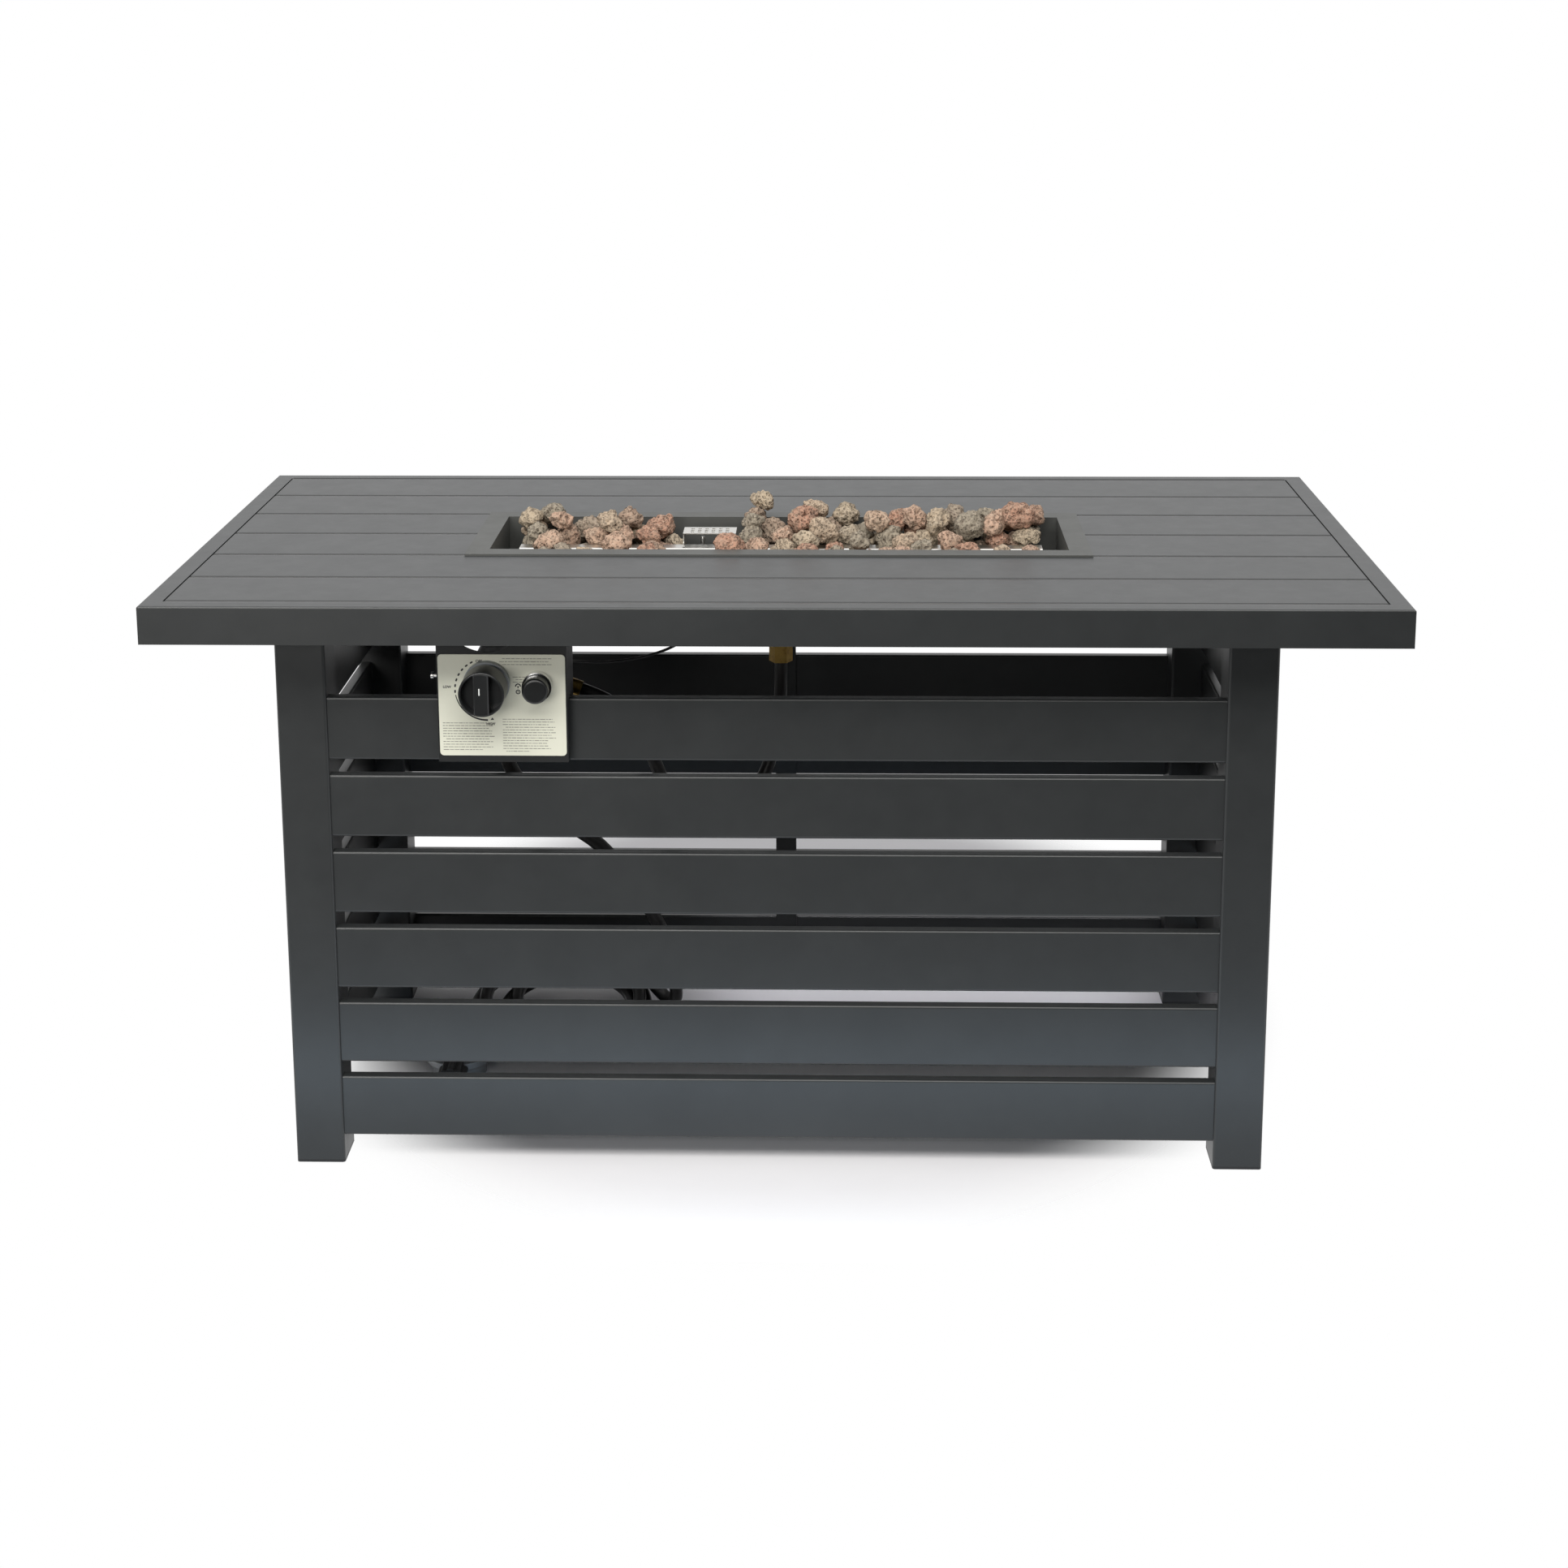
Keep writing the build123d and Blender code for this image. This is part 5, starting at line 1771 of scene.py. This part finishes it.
@dataclass(frozen=True)
class DialWord:
    """A plain word on the dial.

    Attributes:
        text: The word.
        x: Middle along X, in millimetres.
        z: Base line, in millimetres.
        height: Height of its letters, in millimetres.
        weight: How much bolder its strokes are than the plain font's, in millimetres.
    """

    text: str
    x: float
    z: float
    height: float
    weight: float = 0.12

    def build(self, front: float, material: bpy.types.Material) -> bpy.types.Object:
        """Makes the word as a flat mesh.

        Args:
            front: Where its plane is along Y, in millimetres.
            material: Its material.

        Returns:
            The piece.
        """
        name = f"dial_{self.text.lower()}"
        font = bpy.data.curves.new(name, "FONT")
        font.body = self.text
        font.size = self.height * MM / CAPITAL_SHARE
        font.align_x = "CENTER"
        font.offset = self.weight * MM
        holder = linked("word_holder", font)
        mesh = plain_mesh(holder)
        bpy.data.objects.remove(holder)
        place = Matrix.Translation(Vector((self.x, front, self.z)) * MM)
        mesh.transform(place @ Matrix.Rotation(math.pi / 2, 4, "X"))
        mesh.materials.clear()
        mesh.materials.append(material)
        return seated(show(name, mesh), Body.TABLE)


@dataclass(frozen=True)
class LineBlock:
    """A block of fine broken lines, in millimetres.

    Attributes:
        left: Left edge.
        right: Right edge.
        top: Height of the first line.
        count: Number of lines.
        spacing: Distance from line to line.
        last: Length of the last line, as a share of the block's width.
    """

    left: float
    right: float
    top: float
    count: int
    spacing: float
    last: float


@dataclass(frozen=True)
class PushSign:
    """The sign for pushing by the igniter: a bowed finger over a button, in millimetres.

    Attributes:
        x: Middle along X.
        z: Middle along Z.
        bow_rise: Height of the bow's middle over the sign's.
        bow_radius: Radius of the bow.
        bow_span: Angles of the bow's ends, from straight up to the left.
        bow_width: Width of the bow's stroke.
        stem_rise: Height of the stem's middle over the sign's.
        stem_size: Width and height of the stem.
        ring_drop: How far the ring's middle is under the sign's.
        ring_radius: Radius of the ring.
        ring_width: Width of the ring's stroke.
        dot: Width and height of the dot in the ring.
        steps: Faces along the bow and along the ring.
    """

    x: float = -253.4
    z: float = 513.4
    bow_rise: float = 3.2
    bow_radius: float = 2.3
    bow_span: Limits = (-100.0, 100.0)
    bow_width: float = 1.2
    stem_rise: float = 2.4
    stem_size: Flat = (1.1, 2.6)
    ring_drop: float = 2.6
    ring_radius: float = 1.9
    ring_width: float = 1.0
    dot: float = 1.2
    steps: tuple[int, int] = (24, 32)

    def draw(self, sheet: Sheet) -> None:
        """Adds the sign to a sheet.

        Args:
            sheet: The sheet.
        """
        x, bow, ring = self.x, (self.x, self.z + self.bow_rise), (self.x, self.z - self.ring_drop)
        sheet.arc(bow, self.bow_radius, self.bow_span, (self.bow_width,) * 2, self.steps[0])
        sheet.bar(x, self.z + self.stem_rise, *self.stem_size)
        sheet.arc(ring, self.ring_radius, (0.0, 360.0), (self.ring_width,) * 2, self.steps[1])
        sheet.bar(*ring, self.dot, self.dot)


@dataclass(frozen=True)
class ControlPanel:
    """Printed marks on the control plate and on the knob, in millimetres.

    Attributes:
        dial: Middle of the dial's marks, X and Z.
        dial_radius: Radius of the marks.
        dashes: Number of dashes between off and low.
        dash_span: Angles of the first and last dash, from straight up to the left.
        dash_size: Length and width of a dash.
        dash_steps: Faces round an end of a dash.
        sweep_span: Angles of the solid arc between low and high.
        sweep_widths: Width of the solid arc at its ends.
        pointer_place: Place of the pointer, from the lowest point of the dial.
        pointer: Corners of the pointer, from its place.
        ink_lift: How far the ink stands out of the plate.
        words: Words on the dial.
        push_sign: Sign by the igniter.
        line_blocks: Blocks of fine lines.
        indents: Indents that a line is drawn from.
        line_shares: Least and greatest length of a line, as shares of its block's width.
        stroke_lengths: Least and greatest length of a stroke in a line.
        stroke_heights: Least and greatest height of a stroke.
        stroke_gap: Gap from stroke to stroke.
        seed: Seed of the strokes.
        index_mark: Middle along X and Z, width and height of the line on the knob.
        corner_share: Cut of that line's corners, as a share of its width.
        box: Lowest and highest corner of the control plate, in metres.
    """

    dial: Flat = (-284.6, 513.0)
    dial_radius: float = 31.3
    dashes: int = 7
    dash_span: Limits = (27.5, 93.5)
    dash_size: Flat = (3.3, 1.7)
    dash_steps: int = 8
    sweep_span: Limits = (100.0, 181.0)
    sweep_widths: Limits = (0.9, 1.9)
    pointer_place: Flat = (4.6, 0.9)
    pointer: tuple[Flat, ...] = ((-1.6, -0.9), (2.0, -0.6), (0.4, 1.9))
    ink_lift: float = 0.06
    words: tuple[DialWord, ...] = (
        DialWord("OFF", -291.5, 541.0, 2.6),
        DialWord("LOW", -323.8, 514.6, 2.4),
        DialWord("HIGH", -281.5, 476.6, 2.4),
    )
    push_sign: PushSign = PushSign()
    line_blocks: tuple[LineBlock, ...] = (
        LineBlock(-271.5, -210.5, 544.8, 3, 3.0, 0.85),
        LineBlock(-258.5, -245.0, 526.0, 3, 2.6, 0.75),
        LineBlock(-329.0, -273.0, 478.6, 11, 2.75, 0.7),
        LineBlock(-269.5, -216.5, 482.6, 13, 2.75, 0.5),
    )
    indents: tuple[float, ...] = (0.0, 0.0, 3.0)
    line_shares: Limits = (0.8, 1.0)
    stroke_lengths: Limits = (1.2, 5.5)
    stroke_heights: Limits = (0.55, 0.8)
    stroke_gap: float = 0.7
    seed: int = 5
    index_mark: tuple[float, float, float, float] = (-285.6, 523.4, 1.2, 7.2)
    corner_share: float = 0.25
    box: tuple[Vector, Vector] = field(default_factory=lambda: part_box("control_plate"))

    @property
    def front(self) -> float:
        """Where the ink's plane is along Y."""
        return self.box[0].y / MM - self.ink_lift

    def dash_tree(self) -> GeometryTree:
        """Makes the tree that lays dashes along an arc.

        Returns:
            The tree.
        """
        tree = GeometryTree("dial_dashes")
        radius, start, sweep = (tree.input(name, "Float") for name in ("radius", "start", "sweep"))
        count, material = tree.input("count", "Int"), tree.input("material", "Material")
        middle = tree.input("middle", "Vector")
        bend = {"Resolution": count, "Radius": radius, "Start Angle": start, "Sweep Angle": sweep}
        arc = tree.out(tree.add("GeometryNodeCurveArc", {"mode": "RADIUS"}, bend))
        points = tree.add("GeometryNodeCurveToPoints", {"mode": "EVALUATED"}, {"Curve": arc})
        laid = {
            "Points": tree.out(points),
            "Instance": tree.out(tree.start, "Geometry"),
            "Rotation": tree.out(points, "Rotation"),
        }
        copies = tree.out(tree.add("GeometryNodeInstanceOnPoints", {}, laid))
        raised = {"Geometry": copies, "Translation": middle, "Rotation": (math.pi / 2, 0.0, 0.0)}
        tree.finish(tree.out(tree.add("GeometryNodeTransform", {}, raised)), material)
        return tree

    def dash(self) -> bpy.types.Mesh:
        """One dash along its own Z axis, with rounded ends, in the plane of the arc.

        Returns:
            The mesh.
        """
        length, width = self.dash_size
        corners = []
        for end in (1, -1):
            for index in range(self.dash_steps + 1):
                angle = math.pi * index / self.dash_steps
                along = end * ((length - width) / 2 + math.sin(angle) * width / 2)
                corners.append((end * math.cos(angle) * width / 2 * MM, 0.0, along * MM))
        mesh = bpy.data.meshes.new("dash")
        mesh.from_pydata(corners, [], [tuple(range(len(corners)))])
        return mesh

    def dashed_arc(self, wardrobe: Wardrobe) -> bpy.types.Object:
        """The dashes between off and low.

        Args:
            wardrobe: Materials.

        Returns:
            The piece.
        """
        first, last = self.dash_span
        made = self.dash_tree().applied(
            self.dash(),
            radius=self.dial_radius * MM,
            start=math.radians(90 + first),
            sweep=math.radians(last - first),
            count=self.dashes,
            material=wardrobe.of(DARK_INK),
            middle=(self.dial[0] * MM, self.front * MM, self.dial[1] * MM),
        )
        return seated(show("dial_dashes", made), Body.TABLE)

    def marks(self, wardrobe: Wardrobe) -> bpy.types.Object:
        """The solid arc between low and high, its pointer, and the push sign by the igniter.

        Args:
            wardrobe: Materials.

        Returns:
            The piece.
        """
        sheet = Sheet(self.front)
        sheet.arc(self.dial, self.dial_radius, self.sweep_span, self.sweep_widths)
        x = self.dial[0] + self.pointer_place[0]
        z = self.dial[1] - self.dial_radius + self.pointer_place[1]
        sheet.polygon([(x + across, z + up) for across, up in self.pointer])
        self.push_sign.draw(sheet)
        mesh = sheet.mesh("dial_marks", wardrobe.of(DARK_INK))
        return seated(show("dial_marks", mesh), Body.TABLE)

    def fine_lines(self, wardrobe: Wardrobe) -> bpy.types.Object:
        """Blocks of fine broken lines, which spell nothing.

        Args:
            wardrobe: Materials.

        Returns:
            The piece.
        """
        chance = random.Random(self.seed)
        sheet = Sheet(self.front)
        for block in self.line_blocks:
            for index in range(block.count):
                x = block.left + chance.choice(self.indents)
                inner = index < block.count - 1
                share = chance.uniform(*self.line_shares) if inner else block.last
                end = block.left + (block.right - block.left) * share
                z = block.top - index * block.spacing
                while x < end:
                    width = min(chance.uniform(*self.stroke_lengths), end - x)
                    sheet.bar(x + width / 2, z, width, chance.uniform(*self.stroke_heights))
                    x += width + self.stroke_gap
        mesh = sheet.mesh("fine_lines", wardrobe.of(PALE_INK))
        return seated(show("fine_lines", mesh), Body.TABLE)

    def knob_index(self, wardrobe: Wardrobe) -> bpy.types.Object:
        """The white line on the grip of the knob, with cut corners.

        Args:
            wardrobe: Materials.

        Returns:
            The piece.
        """
        sheet = Sheet(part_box("control_knob")[0].y / MM - self.ink_lift)
        x, z, width, height = self.index_mark
        cut = width * self.corner_share
        left, right, low, high = x - width / 2, x + width / 2, z - height / 2, z + height / 2
        lower = [(left, low + cut), (left + cut, low), (right - cut, low), (right, low + cut)]
        upper = [(right, high - cut), (right - cut, high), (left + cut, high), (left, high - cut)]
        sheet.polygon([*lower, *upper])
        mesh = sheet.mesh("knob_index", wardrobe.of(WHITE_INK))
        return seated(show("knob_index", mesh), Body.KNOB)

    def build(self, wardrobe: Wardrobe) -> list[bpy.types.Object]:
        """Makes all marks.

        Args:
            wardrobe: Materials.

        Returns:
            The pieces.
        """
        words = [word.build(self.front, wardrobe.of(DARK_INK)) for word in self.words]
        made = [self.dashed_arc(wardrobe), self.marks(wardrobe), self.fine_lines(wardrobe)]
        return [*words, *made, self.knob_index(wardrobe)]


@dataclass(frozen=True)
class DeckShadeStrips:
    """Dark strips in the joints of the deck: painted shade that closes the joints to the light from
    below.

    Attributes:
        rows: Planks on the left, from the front to the back.
        rails: Rails at the left end, at the front and at the back.
        cut: Plank left of the fire pan.
        depth: Depth of the strips under the top of the deck, in metres.
        thickness: Their thickness.
        play: Gap on each side of a strip.
    """

    rows: tuple[str, ...] = (
        "top_plank_1",
        "top_plank_2",
        "top_plank_3_left",
        "top_plank_4_left",
        "top_plank_5",
        "top_plank_6",
    )
    rails: tuple[str, str, str] = ("top_rail_left", "top_rail_front", "top_rail_rear")
    cut: str = "top_plank_3_left"
    depth: float = 0.0016
    thickness: float = 0.0012
    play: float = 0.0001

    def plans(self) -> list[tuple[float, float, float, float]]:
        """Outlines of the strips on the left half, seen from above.

        Returns:
            Lowest and highest X, then lowest and highest Y, of each strip.
        """
        planks = [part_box(name) for name in self.rows]
        left_rail, front_rail, rear_rail = (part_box(name) for name in self.rails)
        end, inner = planks[0][0].x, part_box(self.cut)[1].x
        front, rear = front_rail[1].y, rear_rail[0].y
        found = [(left_rail[0].x + front_rail[1].y - front_rail[0].y, end, front, rear)]
        edges = [front, *(y for low, high in planks for y in (low.y, high.y)), rear]
        found += [(end, inner, low, high) for low, high in zip(edges[::2], edges[1::2])]
        return found

    def build(self, wardrobe: Wardrobe) -> bpy.types.Object:
        """Makes the strips on both halves.

        Args:
            wardrobe: Materials.

        Returns:
            The piece.
        """
        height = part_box(self.rows[0])[1].z - self.depth - self.thickness / 2
        work = bmesh.new()
        for left, right, front, rear in self.plans():
            x, y = (left + right) / 2, (front + rear) / 2
            size = (right - left - 2 * self.play, rear - front - 2 * self.play, self.thickness)
            for side in (1.0, -1.0):
                place = Matrix.Translation((x * side, y, height)) @ Matrix.Diagonal((*size, 1.0))
                bmesh.ops.create_cube(work, size=1.0, matrix=place)
        mesh = bpy.data.meshes.new("deck_shade_strips")
        work.to_mesh(mesh)
        work.free()
        # Painted shade: dark strips where the joints are only in shade, in the black plastic
        # finish.
        mesh.materials.append(wardrobe.slot(Slot.BLACK_PLASTIC))
        return seated(show("deck_shade_strips", mesh), Body.TABLE)


class Solids:
    """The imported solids, which keep their shape and get finishes."""

    def __init__(self, frame: Mapping[str, object]) -> None:
        """Takes the solids and their slots out of the frame."""
        self.nodes: Mapping[str, bpy.types.Object] = frame["nodes"]
        self.parts: Sequence[Mapping[str, str]] = frame["record"]["subparts"]

    def dress(self, wardrobe: Wardrobe) -> list[bpy.types.Object]:
        """Gives each solid the finish of its slot.

        Args:
            wardrobe: Materials.

        Returns:
            The solids.
        """
        slots = {part["node"]: Slot(part["material_slot"]) for part in self.parts}
        for name, node in self.nodes.items():
            material = wardrobe.slot(slots[name])
            if not node.data.materials:
                node.data.materials.append(material)
            for place in node.material_slots:
                place.material = material
        return list(self.nodes.values())


def main() -> None:
    """Builds the camera, the lines, stones, marks and dark shade strips, then the finishes and the
    studio.
    """
    logging.basicConfig(level=logging.INFO, format="%(message)s")
    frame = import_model()
    PhotoCamera().build()
    wardrobe = Wardrobe()
    solids = Solids(frame)
    pieces = [
        *GasLines().build(wardrobe, solids.nodes),
        *RockBed().build(wardrobe, solids.nodes),
        *ControlPanel().build(wardrobe),
        DeckShadeStrips().build(wardrobe),
        *solids.dress(wardrobe),
    ]
    for piece in pieces:
        log.info("%s in %s", piece.name, [slot.name for slot in piece.material_slots])
    Studio().build()


if __name__ == "__main__":
    main()
